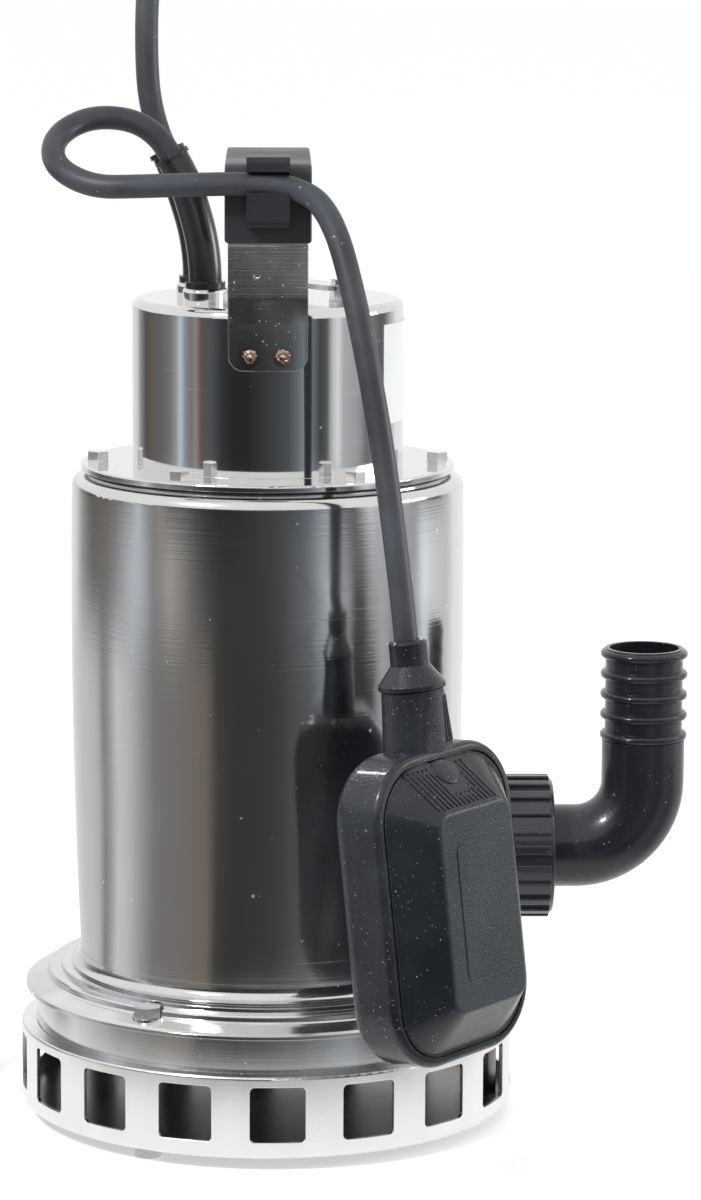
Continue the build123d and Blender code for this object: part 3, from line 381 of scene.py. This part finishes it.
def add_tube(bm, line, radius, sides=20):
    """A closed tube along a line: a circle carried along it and joined to the next, ring by ring."""
    side = Vector((0, 1, 0))
    rings = []
    for step, place in enumerate(line):
        ahead = (line[min(step + 1, len(line) - 1)] - line[max(step - 1, 0)]).normalized()
        side = (side - ahead * side.dot(ahead)).normalized()
        facing = Matrix((side, ahead.cross(side), ahead)).transposed().to_4x4()
        circle = bmesh.ops.create_circle(
            bm, segments=sides, radius=radius, matrix=Matrix.Translation(place) @ facing)
        rings.append(circle["verts"])
    bm.edges.ensure_lookup_table()
    for low, high in zip(rings, rings[1:]):
        edges = list({e for v in low for e in v.link_edges if e.other_vert(v) in set(low)})
        edges += list({e for v in high for e in v.link_edges if e.other_vert(v) in set(high)})
        bmesh.ops.bridge_loops(bm, edges=edges)
    for end in (rings[0], rings[-1]):
        bmesh.ops.contextual_create(bm, geom=end)


def finished(name, bm):
    """Turns the faces outward, rounds the long ones and makes the object."""
    bmesh.ops.recalc_face_normals(bm, faces=bm.faces)
    for face in bm.faces:
        face.smooth = len(face.verts) <= 4
    mesh = bpy.data.meshes.new(name)
    bm.to_mesh(mesh)
    bm.free()
    obj = bpy.data.objects.new(name, mesh)
    bpy.context.scene.collection.objects.link(obj)
    return obj


cable_bm = bmesh.new()
add_tube(cable_bm, float_line, cable_thick / 2)
float_cable = finished("float_cable", cable_bm)
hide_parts("float_cable_root", "float_cable_lower")


# ---------------------------------------------------------------- rubber of the cables
# The cables' sheath is dull dark grey rubber, pressed round the cores, a little paler where hands have
# rubbed it and with pale dust. Of its marks, specks are small and few, grain is a fine even roughness,
# and smudge is broad soft patches.
marks, given, made = new_group(
    "surface_marks",
    [("Vector", "NodeSocketVector", None), ("Speck Scale", "NodeSocketFloat", 300.0),
     ("Speck Share", "NodeSocketFloat", 0.05), ("Smudge Scale", "NodeSocketFloat", 20.0),
     ("Grain Scale", "NodeSocketFloat", 1500.0)],
    [("Specks", "NodeSocketFloat"), ("Smudge", "NodeSocketFloat"), ("Grain", "NodeSocketFloat")],
)
wobble = new_node(marks, "ShaderNodeTexNoise", scale=900.0, detail=1.0)
shifted = new_node(marks, "ShaderNodeVectorMath", operation="MULTIPLY_ADD")
shifted.inputs[1].default_value = (0.0012, 0.0012, 0.0012)
cells = new_node(marks, "ShaderNodeTexVoronoi", feature="F1")
cell_pick = new_node(marks, "ShaderNodeSeparateColor")
rare = new_node(marks, "ShaderNodeMath", operation="SUBTRACT")
rare.inputs[0].default_value = 1.0
chosen = new_node(marks, "ShaderNodeMath", operation="GREATER_THAN")
size_of = new_node(marks, "ShaderNodeMapRange", to_min=0.03, to_max=0.30)
inside = new_node(marks, "ShaderNodeMath", operation="SUBTRACT")
dot = new_node(marks, "ShaderNodeMapRange", from_min=0.0, from_max=0.08)
specks = new_node(marks, "ShaderNodeMath", operation="MULTIPLY")
patches = new_node(marks, "ShaderNodeTexNoise", detail=4.0, roughness=0.55)
soft = new_node(marks, "ShaderNodeMapRange", from_min=0.35, from_max=0.68)
fine = new_node(marks, "ShaderNodeTexNoise", detail=2.0)
chain(
    marks,
    (given, "Vector"), (wobble, "Vector"), (wobble, "Color"), (shifted, 0), (given, "Vector"), (shifted, 2),
    (shifted, 0), (cells, "Vector"), (given, "Speck Scale"), (cells, "Scale"),
    (cells, "Color"), (cell_pick, "Color"), (given, "Speck Share"), (rare, 1),
    (cell_pick, "Red"), (chosen, 0), (rare, 0), (chosen, 1), (cell_pick, "Green"), (size_of, "Value"),
    (size_of, 0), (inside, 0), (cells, "Distance"), (inside, 1), (inside, 0), (dot, "Value"),
    (dot, "Result"), (specks, 0), (chosen, 0), (specks, 1), (specks, 0), (made, "Specks"),
    (given, "Vector"), (patches, "Vector"), (given, "Smudge Scale"), (patches, "Scale"),
    (patches, "Fac"), (soft, "Value"), (soft, "Result"), (made, "Smudge"),
    (given, "Vector"), (fine, "Vector"), (given, "Grain Scale"), (fine, "Scale"),
    (fine, "Fac"), (made, "Grain"),
)


def marked_material(
    name, low, high, speck, rough, metal=0.0, specks=0.03, speck_scale=420.0, smudge_scale=22.0,
    grain_scale=1400.0, grain_depth=0.00004, coat=0.0, spec=0.5, soft_edge=0.0005,
):
    """A material that varies from a low to a high colour, with dust, a fine grain and soft edges."""
    mat = bpy.data.materials.new(name)
    mat.use_nodes = True
    tree = mat.node_tree
    shader = tree.nodes["Principled BSDF"]
    shader.inputs["Metallic"].default_value = metal
    shader.inputs["Specular IOR Level"].default_value = spec
    shader.inputs["Coat Weight"].default_value = coat
    shader.inputs["Coat Roughness"].default_value = 0.12
    place = new_node(tree, "ShaderNodeTexCoord")
    effect = tree.nodes.new("ShaderNodeGroup")
    effect.node_tree = marks
    effect.inputs["Speck Scale"].default_value = speck_scale
    effect.inputs["Speck Share"].default_value = specks
    effect.inputs["Smudge Scale"].default_value = smudge_scale
    effect.inputs["Grain Scale"].default_value = grain_scale
    tint = new_node(tree, "ShaderNodeMix", data_type="RGBA")
    tint.inputs["A"].default_value = (*low, 1)
    tint.inputs["B"].default_value = (*high, 1)
    dusty = new_node(tree, "ShaderNodeMix", data_type="RGBA")
    dusty.inputs["B"].default_value = (*speck, 1)
    shine = new_node(tree, "ShaderNodeMapRange", to_min=rough[0], to_max=rough[1])
    bump = new_node(tree, "ShaderNodeBump", strength=0.6, distance=grain_depth)
    edges = new_node(tree, "ShaderNodeBevel", samples=4, radius=soft_edge)
    chain(tree, (place, "Object"), (effect, "Vector"), (edges, 0), (bump, "Normal"))
    tree.links.new(effect.outputs["Smudge"], tint.inputs[0])
    tree.links.new(tint.outputs[2], dusty.inputs[6])
    tree.links.new(effect.outputs["Specks"], dusty.inputs[0])
    chain(
        tree,
        (dusty, 2), (shader, "Base Color"), (effect, "Smudge"), (shine, "Value"),
        (shine, "Result"), (shader, "Roughness"), (effect, "Grain"), (bump, "Height"),
        (bump, "Normal"), (shader, "Normal"),
    )
    return mat


def dress(mat, *names):
    """Gives CAD nodes one finish all over."""
    for name in names:
        mesh = nodes[name].data
        mesh.materials.clear()
        mesh.materials.append(mat)


cable_rubber = marked_material(
    "cable_rubber", (0.026, 0.028, 0.036), (0.060, 0.065, 0.078), (0.40, 0.40, 0.39), (0.40, 0.55),
    specks=0.04, speck_scale=700.0, smudge_scale=26.0, spec=0.4)
mains_cable.data.materials.append(cable_rubber)
float_cable.data.materials.append(cable_rubber)

# ---------------------------------------------------------------- drawn stainless steel
# The jacket, the base casing, the strainer and the motor's can are drawn and spun from sheet. Faint
# lines run round them, and broader streaks run up them from the drawing tool.
steel_marks, given, made = new_group(
    "drawn_lines",
    [("Vector", "NodeSocketVector", None)],
    [("Rings", "NodeSocketFloat"), ("Streaks", "NodeSocketFloat"), ("Scratches", "NodeSocketFloat")],
)
round_lines = new_node(steel_marks, "ShaderNodeMapping", scale=(6, 6, 1400))
up_lines = new_node(steel_marks, "ShaderNodeMapping", scale=(90, 90, 4))
cross_lines = new_node(steel_marks, "ShaderNodeMapping", rotation=(0.5, 0.35, 0.2), scale=(18, 30, 900))
ring_noise = new_node(steel_marks, "ShaderNodeTexNoise", scale=1.0, detail=3.0)
up_noise = new_node(steel_marks, "ShaderNodeTexNoise", scale=1.0, detail=3.0)
scratch_noise = new_node(steel_marks, "ShaderNodeTexNoise", scale=1.0, detail=1.0)
scratch_cut = new_node(steel_marks, "ShaderNodeMapRange", from_min=0.72, from_max=0.80)
chain(
    steel_marks,
    (given, "Vector"), (round_lines, "Vector"), (round_lines, 0), (ring_noise, "Vector"),
    (ring_noise, "Fac"), (made, "Rings"), (given, "Vector"), (up_lines, "Vector"),
    (up_lines, 0), (up_noise, "Vector"), (up_noise, "Fac"), (made, "Streaks"),
    (given, "Vector"), (cross_lines, "Vector"), (cross_lines, 0), (scratch_noise, "Vector"),
    (scratch_noise, "Fac"), (scratch_cut, "Value"), (scratch_cut, "Result"), (made, "Scratches"),
)


def steel_material(
    name, colour, rough, lines=0.00002, specks=0.02, speck_scale=330.0, streak=0.06, soft_edge=0.0004,
    scratched=0.15,
):
    """Bare steel: smudges and streaks in its gloss, fine lines round it, scratches and dried specks."""
    mat = bpy.data.materials.new(name)
    mat.use_nodes = True
    tree = mat.node_tree
    shader = tree.nodes["Principled BSDF"]
    shader.inputs["Metallic"].default_value = 1.0
    place = new_node(tree, "ShaderNodeTexCoord")
    effect = tree.nodes.new("ShaderNodeGroup")
    effect.node_tree = marks
    effect.inputs["Speck Scale"].default_value = speck_scale
    effect.inputs["Speck Share"].default_value = specks
    effect.inputs["Smudge Scale"].default_value = 14.0
    drawn = tree.nodes.new("ShaderNodeGroup")
    drawn.node_tree = steel_marks
    streaked = new_node(tree, "ShaderNodeMix", data_type="RGBA")
    streaked.inputs[6].default_value = (*[c * (1 - streak) for c in colour], 1)
    streaked.inputs[7].default_value = (*[min(1, c * (1 + streak)) for c in colour], 1)
    spotted = new_node(tree, "ShaderNodeMix", data_type="RGBA")
    spotted.inputs[7].default_value = (0.92, 0.93, 0.93, 1)
    scored = new_node(tree, "ShaderNodeMix", data_type="RGBA")
    scored.inputs[7].default_value = (0.95, 0.96, 0.97, 1)
    faint = new_node(tree, "ShaderNodeMath", operation="MULTIPLY")
    faint.inputs[1].default_value = scratched
    shine = new_node(tree, "ShaderNodeMapRange", to_min=rough[0], to_max=rough[1])
    rubbed = new_node(tree, "ShaderNodeMath", operation="MULTIPLY")
    rubbed.inputs[1].default_value = 0.10
    rougher = new_node(tree, "ShaderNodeMath", operation="ADD")
    dull = new_node(tree, "ShaderNodeMath", operation="MULTIPLY")
    dull.inputs[1].default_value = 0.3
    roughest = new_node(tree, "ShaderNodeMath", operation="ADD")
    bump = new_node(tree, "ShaderNodeBump", strength=0.5, distance=lines)
    edges = new_node(tree, "ShaderNodeBevel", samples=4, radius=soft_edge)
    chain(
        tree,
        (place, "Object"), (effect, "Vector"), (place, "Object"), (drawn, "Vector"),
        (drawn, "Streaks"), (streaked, 0), (streaked, 2), (spotted, 6), (effect, "Specks"), (spotted, 0),
        (spotted, 2), (scored, 6), (drawn, "Scratches"), (faint, 0), (faint, 0), (scored, 0),
        (scored, 2), (shader, "Base Color"), (effect, "Smudge"), (shine, "Value"),
        (drawn, "Scratches"), (rubbed, 0), (shine, "Result"), (rougher, 0), (rubbed, 0), (rougher, 1),
        (effect, "Specks"), (dull, 0), (rougher, 0), (roughest, 0), (dull, 0), (roughest, 1),
        (roughest, 0), (shader, "Roughness"), (drawn, "Rings"), (bump, "Height"),
        (edges, 0), (bump, "Normal"), (bump, "Normal"), (shader, "Normal"),
    )
    return mat


drawn_steel = steel_material(
    "drawn_steel", (0.68, 0.68, 0.68), (0.07, 0.17), lines=0.00005, specks=0.04, speck_scale=420.0,
    streak=0.09, scratched=0.25)
dress(drawn_steel, "outer_jacket", "motor_can")
base_steel = steel_material(
    "base_steel", (0.72, 0.72, 0.72), (0.10, 0.20), specks=0.03, speck_scale=520.0, streak=0.10)
dress(base_steel, "base_casing")
strainer_steel = steel_material("strainer_steel", (0.88, 0.88, 0.87), (0.20, 0.30), specks=0.008)
dress(strainer_steel, "strainer")
# painted shade: the strainer's inner side below its top ring is painted dull dark brown-grey
tree = strainer_steel.node_tree
place = new_node(tree, "ShaderNodeTexCoord")
flat = new_node(tree, "ShaderNodeVectorMath", operation="MULTIPLY")
flat.inputs[1].default_value = (1, 1, 0)
away = new_node(tree, "ShaderNodeVectorMath", operation="LENGTH")
shade_outer_r, shade_full_r = 0.0982, 0.0980
inner = new_node(tree, "ShaderNodeMapRange", from_min=shade_outer_r, from_max=shade_full_r)
height = new_node(tree, "ShaderNodeSeparateXYZ")
top_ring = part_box("strainer")[1][2] - 0.0013
below = new_node(tree, "ShaderNodeMapRange", from_min=top_ring, from_max=top_ring - 0.0002)
hidden = new_node(tree, "ShaderNodeMath", operation="MULTIPLY")
inside_painted_shade = new_node(tree, "ShaderNodeMix", data_type="RGBA")
inside_painted_shade.inputs[7].default_value = (0.115, 0.105, 0.095, 1)
shader = tree.nodes["Principled BSDF"]
outer_colour = shader.inputs["Base Color"].links[0].from_socket
tree.links.new(outer_colour, inside_painted_shade.inputs[6])
chain(
    tree,
    (place, "Object"), (flat, 0), (flat, 0), (away, 0), (away, "Value"), (inner, "Value"),
    (inner, 0), (hidden, 0), (place, "Object"), (height, 0), (height, "Z"), (below, "Value"),
    (below, 0), (hidden, 1), (hidden, 0), (inside_painted_shade, 0), (inside_painted_shade, 2), (shader, "Base Color"),
)
# the suction plate and the strainer's posts are painted dark brown-grey steel: painted shade inside the
# strainer
plate_steel_painted_shade = steel_material("plate_steel_painted_shade", (0.24, 0.23, 0.21), (0.25, 0.4))
dress(plate_steel_painted_shade, "suction_plate", "strainer_posts")

# ---------------------------------------------------------------- cap, strap and screws
# The cap and its flange are drawn from sheet and polished. The handle strap is bent from flat steel and
# held by two spot welds at each foot. The flange screws and the base bolts have bright hex heads.
cap_steel = steel_material(
    "cap_steel", (0.70, 0.70, 0.70), (0.03, 0.09), lines=0.000005, specks=0.03, scratched=0.5)
dress(cap_steel, "motor_cap")
strap_steel = steel_material(
    "strap_steel", (0.60, 0.61, 0.58), (0.05, 0.20), lines=0.00003, specks=0.07, speck_scale=800.0,
    soft_edge=0.0009, scratched=0.6)
dress(strap_steel, "handle_strap")
plate_cover_steel = steel_material("plate_cover_steel", (0.66, 0.66, 0.65), (0.10, 0.20), specks=0.02)
dress(plate_cover_steel, "cover_plate")
screw_steel = steel_material("screw_steel", (0.88, 0.87, 0.85), (0.12, 0.24), specks=0.01)
# the strap's two spot welds at each foot: shallow round dents, with brown heat colours round them
tree = strap_steel.node_tree
place = new_node(tree, "ShaderNodeTexCoord")
side_on = new_node(tree, "ShaderNodeVectorMath", operation="MULTIPLY")
side_on.inputs[1].default_value = (1, 0, 1)
weld_height, weld_scale = 0.3119, 112.0
spans = []
for weld_x in (-0.0071, 0.0058):
    span = new_node(tree, "ShaderNodeVectorMath", operation="DISTANCE")
    span.inputs[1].default_value = (weld_x, 0, weld_height)
    tree.links.new(side_on.outputs[0], span.inputs[0])
    spans.append(span)
nearest = new_node(tree, "ShaderNodeMath", operation="MINIMUM")
ragged = new_node(tree, "ShaderNodeTexNoise", scale=700.0, detail=2.0)
uneven = new_node(tree, "ShaderNodeMath", operation="MULTIPLY_ADD")
uneven.inputs[1].default_value = 0.0016
weld_shape = new_node(tree, "ShaderNodeValToRGB")
weld_heat = new_node(tree, "ShaderNodeValToRGB")
for ramp, stops in (
    (weld_shape, ((0.0, 0.75), (0.17, 0.35), (0.26, 0.0), (0.31, 0.9), (0.37, 0.6), (0.45, 0.5))),
    (weld_heat, ((0.0, 0.1), (0.15, 0.25), (0.28, 0.95), (0.38, 0.7), (0.62, 0.0))),
):
    for step, (position, grey) in enumerate(stops):
        stop = ramp.color_ramp.elements[step] if step < 2 else ramp.color_ramp.elements.new(position)
        stop.position = position
        stop.color = (grey, grey, grey, 1)
scaled = new_node(tree, "ShaderNodeMath", operation="MULTIPLY")
scaled.inputs[1].default_value = weld_scale
heated = new_node(tree, "ShaderNodeMix", data_type="RGBA")
heated.inputs[7].default_value = (0.36, 0.20, 0.13, 1)
dent = new_node(tree, "ShaderNodeBump", strength=1.0, distance=0.0007)
shader = tree.nodes["Principled BSDF"]
plain_colour = shader.inputs["Base Color"].links[0].from_socket
plain_normal = shader.inputs["Normal"].links[0].from_socket
tree.links.new(plain_colour, heated.inputs[6])
tree.links.new(plain_normal, dent.inputs["Normal"])
chain(
    tree,
    (place, "Object"), (side_on, 0), (spans[0], "Value"), (nearest, 0), (spans[1], "Value"), (nearest, 1),
    (place, "Object"), (ragged, "Vector"), (ragged, "Fac"), (uneven, 0), (nearest, 0), (uneven, 2),
    (uneven, 0), (scaled, 0), (scaled, 0), (weld_shape, 0), (scaled, 0), (weld_heat, 0),
    (weld_heat, 0), (heated, 0), (heated, 2), (shader, "Base Color"), (weld_shape, 0), (dent, "Height"),
    (dent, "Normal"), (shader, "Normal"),
)
dress(screw_steel, "flange_screws", "base_bolts", "plate_standoffs", "plug_pins")
spigot_steel = steel_material("spigot_steel", (0.62, 0.61, 0.60), (0.2, 0.32))
dress(spigot_steel, "outlet_spigot")
foot_steel = steel_material("foot_steel", (0.50, 0.49, 0.47), (0.3, 0.4))
dress(foot_steel, "feet")

# ---------------------------------------------------------------- black plastic and rubber
# The union nut, the elbow and the float are moulded in black plastic with a fine grain. The grip, the
# cable sleeves and the gaskets are moulded rubber.
nut_plastic = marked_material(
    "nut_plastic", (0.020, 0.021, 0.027), (0.034, 0.036, 0.044), (0.36, 0.36, 0.36), (0.16, 0.26),
    specks=0.06,
    speck_scale=1000.0, grain_scale=1500.0, grain_depth=0.00020, spec=0.4, coat=0.5, soft_edge=0.0008)
dress(nut_plastic, "union_nut")
elbow_plastic = marked_material(
    "elbow_plastic", (0.012, 0.013, 0.018), (0.022, 0.024, 0.031), (0.36, 0.36, 0.36), (0.22, 0.34),
    specks=0.05,
    speck_scale=1000.0, grain_scale=1500.0, grain_depth=0.00015, spec=0.3, coat=0.4)
dress(elbow_plastic, "elbow_hose_tail")
grip_rubber = marked_material(
    "grip_rubber", (0.012, 0.013, 0.016), (0.024, 0.027, 0.031), (0.35, 0.35, 0.34), (0.36, 0.5),
    specks=0.012, spec=0.35)
dress(grip_rubber, "handle_grip", "plug_body")
sleeve_rubber = marked_material(
    "sleeve_rubber", (0.012, 0.012, 0.014), (0.020, 0.020, 0.023), (0.3, 0.3, 0.3), (0.14, 0.24),
    specks=0.004)
dress(sleeve_rubber, "float_cable_sleeve", "mains_cable_sleeve", "flange_gasket", "outlet_gasket",
      "housing_oring", "lip_seal", "wear_ring")
float_look = dict(
    specks=0.14, speck_scale=1250.0, grain_scale=1250.0, grain_depth=0.00034, spec=0.25, coat=0.4)
float_plastic = marked_material(
    "float_plastic", (0.010, 0.011, 0.015), (0.019, 0.022, 0.028), (0.42, 0.42, 0.41), (0.24, 0.34),
    **float_look)
dress(float_plastic, "float_gland")
shell_plastic = marked_material(
    "shell_plastic", (0.009, 0.010, 0.014), (0.026, 0.029, 0.037), (0.50, 0.50, 0.49), (0.26, 0.36),
    **float_look)
dress(shell_plastic, "float_shell")
cover_plastic = marked_material(
    "cover_plastic", (0.011, 0.013, 0.017), (0.022, 0.026, 0.032), (0.42, 0.42, 0.41), (0.24, 0.34),
    **float_look)
dress(cover_plastic, "float_cover")

# painted sheen: the cover's raised flat is painted paler than its slopes, more so further down
float_middle = Vector((0.068, -0.113, 0.110))
float_right = Vector((0.668, 0.743, 0.041))
float_up = Vector((-0.100, 0.035, 0.994))
float_out = Vector((0.737, -0.669, 0.098))
flat_depth = max((v.co - float_middle).dot(float_out) for v in nodes["float_cover"].data.vertices)
tree = cover_plastic.node_tree
place = new_node(tree, "ShaderNodeTexCoord")
from_middle = new_node(tree, "ShaderNodeVectorMath", operation="SUBTRACT")
from_middle.inputs[1].default_value = float_middle
outward = new_node(tree, "ShaderNodeVectorMath", operation="DOT_PRODUCT")
outward.inputs[1].default_value = float_out
upward = new_node(tree, "ShaderNodeVectorMath", operation="DOT_PRODUCT")
upward.inputs[1].default_value = float_up
flat_part = new_node(tree, "ShaderNodeMapRange", from_min=flat_depth - 0.0006, from_max=flat_depth - 0.0002)
paler = new_node(tree, "ShaderNodeMapRange", from_min=0.045, from_max=-0.045, to_min=0.2, to_max=0.85)
both = new_node(tree, "ShaderNodeMath", operation="MULTIPLY")
flat_painted_sheen = new_node(tree, "ShaderNodeMix", data_type="RGBA")
flat_painted_sheen.inputs[7].default_value = (0.048, 0.057, 0.066, 1)
shader = tree.nodes["Principled BSDF"]
tree.links.new(shader.inputs["Base Color"].links[0].from_socket, flat_painted_sheen.inputs[6])
chain(
    tree,
    (place, "Object"), (from_middle, 0), (from_middle, 0), (outward, 0), (from_middle, 0), (upward, 0),
    (outward, "Value"), (flat_part, "Value"), (upward, "Value"), (paler, "Value"), (flat_part, 0), (both, 0),
    (paler, 0), (both, 1), (both, 0), (flat_painted_sheen, 0), (flat_painted_sheen, 2), (shader, "Base Color"),
)

# ---------------------------------------------------------------- details moulded on the float
# Fourteen fine ribs run down the cover's upper slope round a low boss, a thin open bracket stands on its
# flat, and four fine ribs stand on the neck. They are moulded with the shell, so they sit half sunk in it.
skin_reach = 0.08
skins = {}
for name in ("float_cover", "float_shell"):
    mesh = nodes[name].data
    skins[name] = BVHTree.FromPolygons(
        [v.co for v in mesh.vertices], [face.vertices for face in mesh.polygons])


def on_skin(name, right, up):
    """The point of a piece's front skin at so far right of and above the float's middle, and its facing."""
    start = float_middle + float_right * right + float_up * up + float_out * skin_reach
    return skins[name].ray_cast(start, -float_out)[:2]


rib_pitch, rib_half, rib_low, rib_high = 0.00236, 0.00046, 0.0397, 0.0540
rib_first, rib_lean, rib_upright, rib_steps = -0.0050, 0.3, 0.95, 8
boss_right, boss_up, boss_half, boss_room, boss_depth = -0.0010, 0.0518, 0.0066, 0.0008, 0.0012
detail_bm = bmesh.new()
for count in range(14):
    line = []
    for step in range(rib_steps):
        up = rib_low + (rib_high - rib_low) * step / (rib_steps - 1)
        right = (rib_first + rib_pitch * count - rib_lean * up) / rib_upright
        if math.hypot(right - boss_right, up - boss_up) < boss_half + boss_room:
            break
        line.append(on_skin("float_cover", right, up)[0])
    if len(line) > 1:
        add_tube(detail_bm, line, rib_half, sides=8)
spot, facing = on_skin("float_cover", boss_right, boss_up)
turn_to = facing.to_track_quat("Z", "Y").to_matrix().to_4x4()
bmesh.ops.create_uvsphere(
    detail_bm, u_segments=28, v_segments=14, radius=1,
    matrix=Matrix.Translation(spot) @ turn_to @ Matrix.Diagonal((boss_half, boss_half, boss_depth, 1)))

bracket_left, bracket_low, bracket_high, corner = -0.0124, -0.0270, 0.0258, 0.003
bracket_half = 0.0004
bracket = [(0.0052, bracket_high)]
for turn in range(7):
    angle = math.radians(90 + 15 * turn)
    bracket.append((
        bracket_left + corner * (1 + math.cos(angle)), bracket_high - corner * (1 - math.sin(angle))))
for turn in range(7):
    angle = math.radians(180 + 15 * turn)
    bracket.append((
        bracket_left + corner * (1 + math.cos(angle)), bracket_low + corner * (1 + math.sin(angle))))
bracket.append((0.0020, bracket_low))
add_tube(detail_bm, [on_skin("float_cover", right, up)[0] for right, up in bracket], bracket_half, sides=8)
cover_ribs = finished("float_cover_ribs", detail_bm)
cover_ribs.data.materials.append(cover_plastic)

neck_rib_first, neck_rib_pitch, neck_rib_half = 0.0048, 0.0019, 0.00035
neck_rib_foot, neck_rib_step = 0.0615, 0.003
neck_bm = bmesh.new()
for count in range(4):
    right = neck_rib_first + neck_rib_pitch * count
    line = [on_skin("float_shell", right, neck_rib_foot + neck_rib_step * step)[0] for step in range(7)]
    add_tube(neck_bm, line, neck_rib_half, sides=8)
neck_ribs = finished("float_neck_ribs", neck_bm)
neck_ribs.data.materials.append(shell_plastic)
for piece in (cover_ribs, neck_ribs):
    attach(piece, "float")

# ---------------------------------------------------------------- label
# A blank film label, stuck on the side of the cap. Nothing is printed on it.
# Its white is a little dull, like matt paper.
label_film = marked_material(
    "label_film", (0.80, 0.81, 0.81), (0.86, 0.87, 0.87), (0.6, 0.6, 0.6), (0.35, 0.45), specks=0.002)
dress(label_film, "blank_rating_label")

# ---------------------------------------------------------------- pieces inside
# The shaft carries the rotor and the impeller in two ball bearings, and the float holds its ball, lever
# and switch. They are turned, cast, wound or moulded, and each has one plain finish, since none shows.
turned_steel = steel_material("turned_steel", (0.56, 0.56, 0.57), (0.22, 0.34))
dress(turned_steel, "shaft", "impeller", "impeller_nut", "bearing_outer_races", "bearing_inner_races",
      "bearing_balls", "seal_spring", "spring_collar", "switch_ball")
core_steel = marked_material(
    "core_steel", (0.10, 0.10, 0.11), (0.16, 0.16, 0.17), (0.3, 0.2, 0.15), (0.4, 0.55), metal=0.6)
dress(core_steel, "rotor_core", "stator_core")
cast_alloy = marked_material(
    "cast_alloy", (0.48, 0.48, 0.48), (0.58, 0.58, 0.575), (0.7, 0.7, 0.7), (0.42, 0.6), metal=0.9,
    grain_scale=700.0, grain_depth=0.0002)
dress(cast_alloy, "seal_housing", "upper_bearing_bracket")
winding_copper = marked_material(
    "winding_copper", (0.36, 0.12, 0.05), (0.55, 0.22, 0.10), (0.7, 0.6, 0.4), (0.3, 0.45), metal=0.5)
dress(winding_copper, "end_windings")
pump_plastic = marked_material(
    "pump_plastic", (0.03, 0.03, 0.033), (0.05, 0.05, 0.055), (0.3, 0.3, 0.3), (0.35, 0.5))
dress(pump_plastic, "diffuser", "microswitch")
pale_plastic = marked_material(
    "pale_plastic", (0.42, 0.43, 0.44), (0.50, 0.51, 0.52), (0.7, 0.7, 0.7), (0.4, 0.5))
dress(pale_plastic, "capacitor", "terminal_block", "switch_chassis", "switch_lever")
seal_ceramic = marked_material(
    "seal_ceramic", (0.78, 0.76, 0.70), (0.84, 0.82, 0.77), (0.6, 0.6, 0.6), (0.1, 0.2), specks=0.002)
dress(seal_ceramic, "seal_seat")
seal_carbon = marked_material(
    "seal_carbon", (0.03, 0.03, 0.03), (0.05, 0.05, 0.05), (0.2, 0.2, 0.2), (0.3, 0.4), specks=0.002)
dress(seal_carbon, "seal_face")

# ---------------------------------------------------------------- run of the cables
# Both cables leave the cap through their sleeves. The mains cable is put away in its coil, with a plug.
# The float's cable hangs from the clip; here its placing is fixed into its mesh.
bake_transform(float_cable)

bpy.context.view_layer.update()
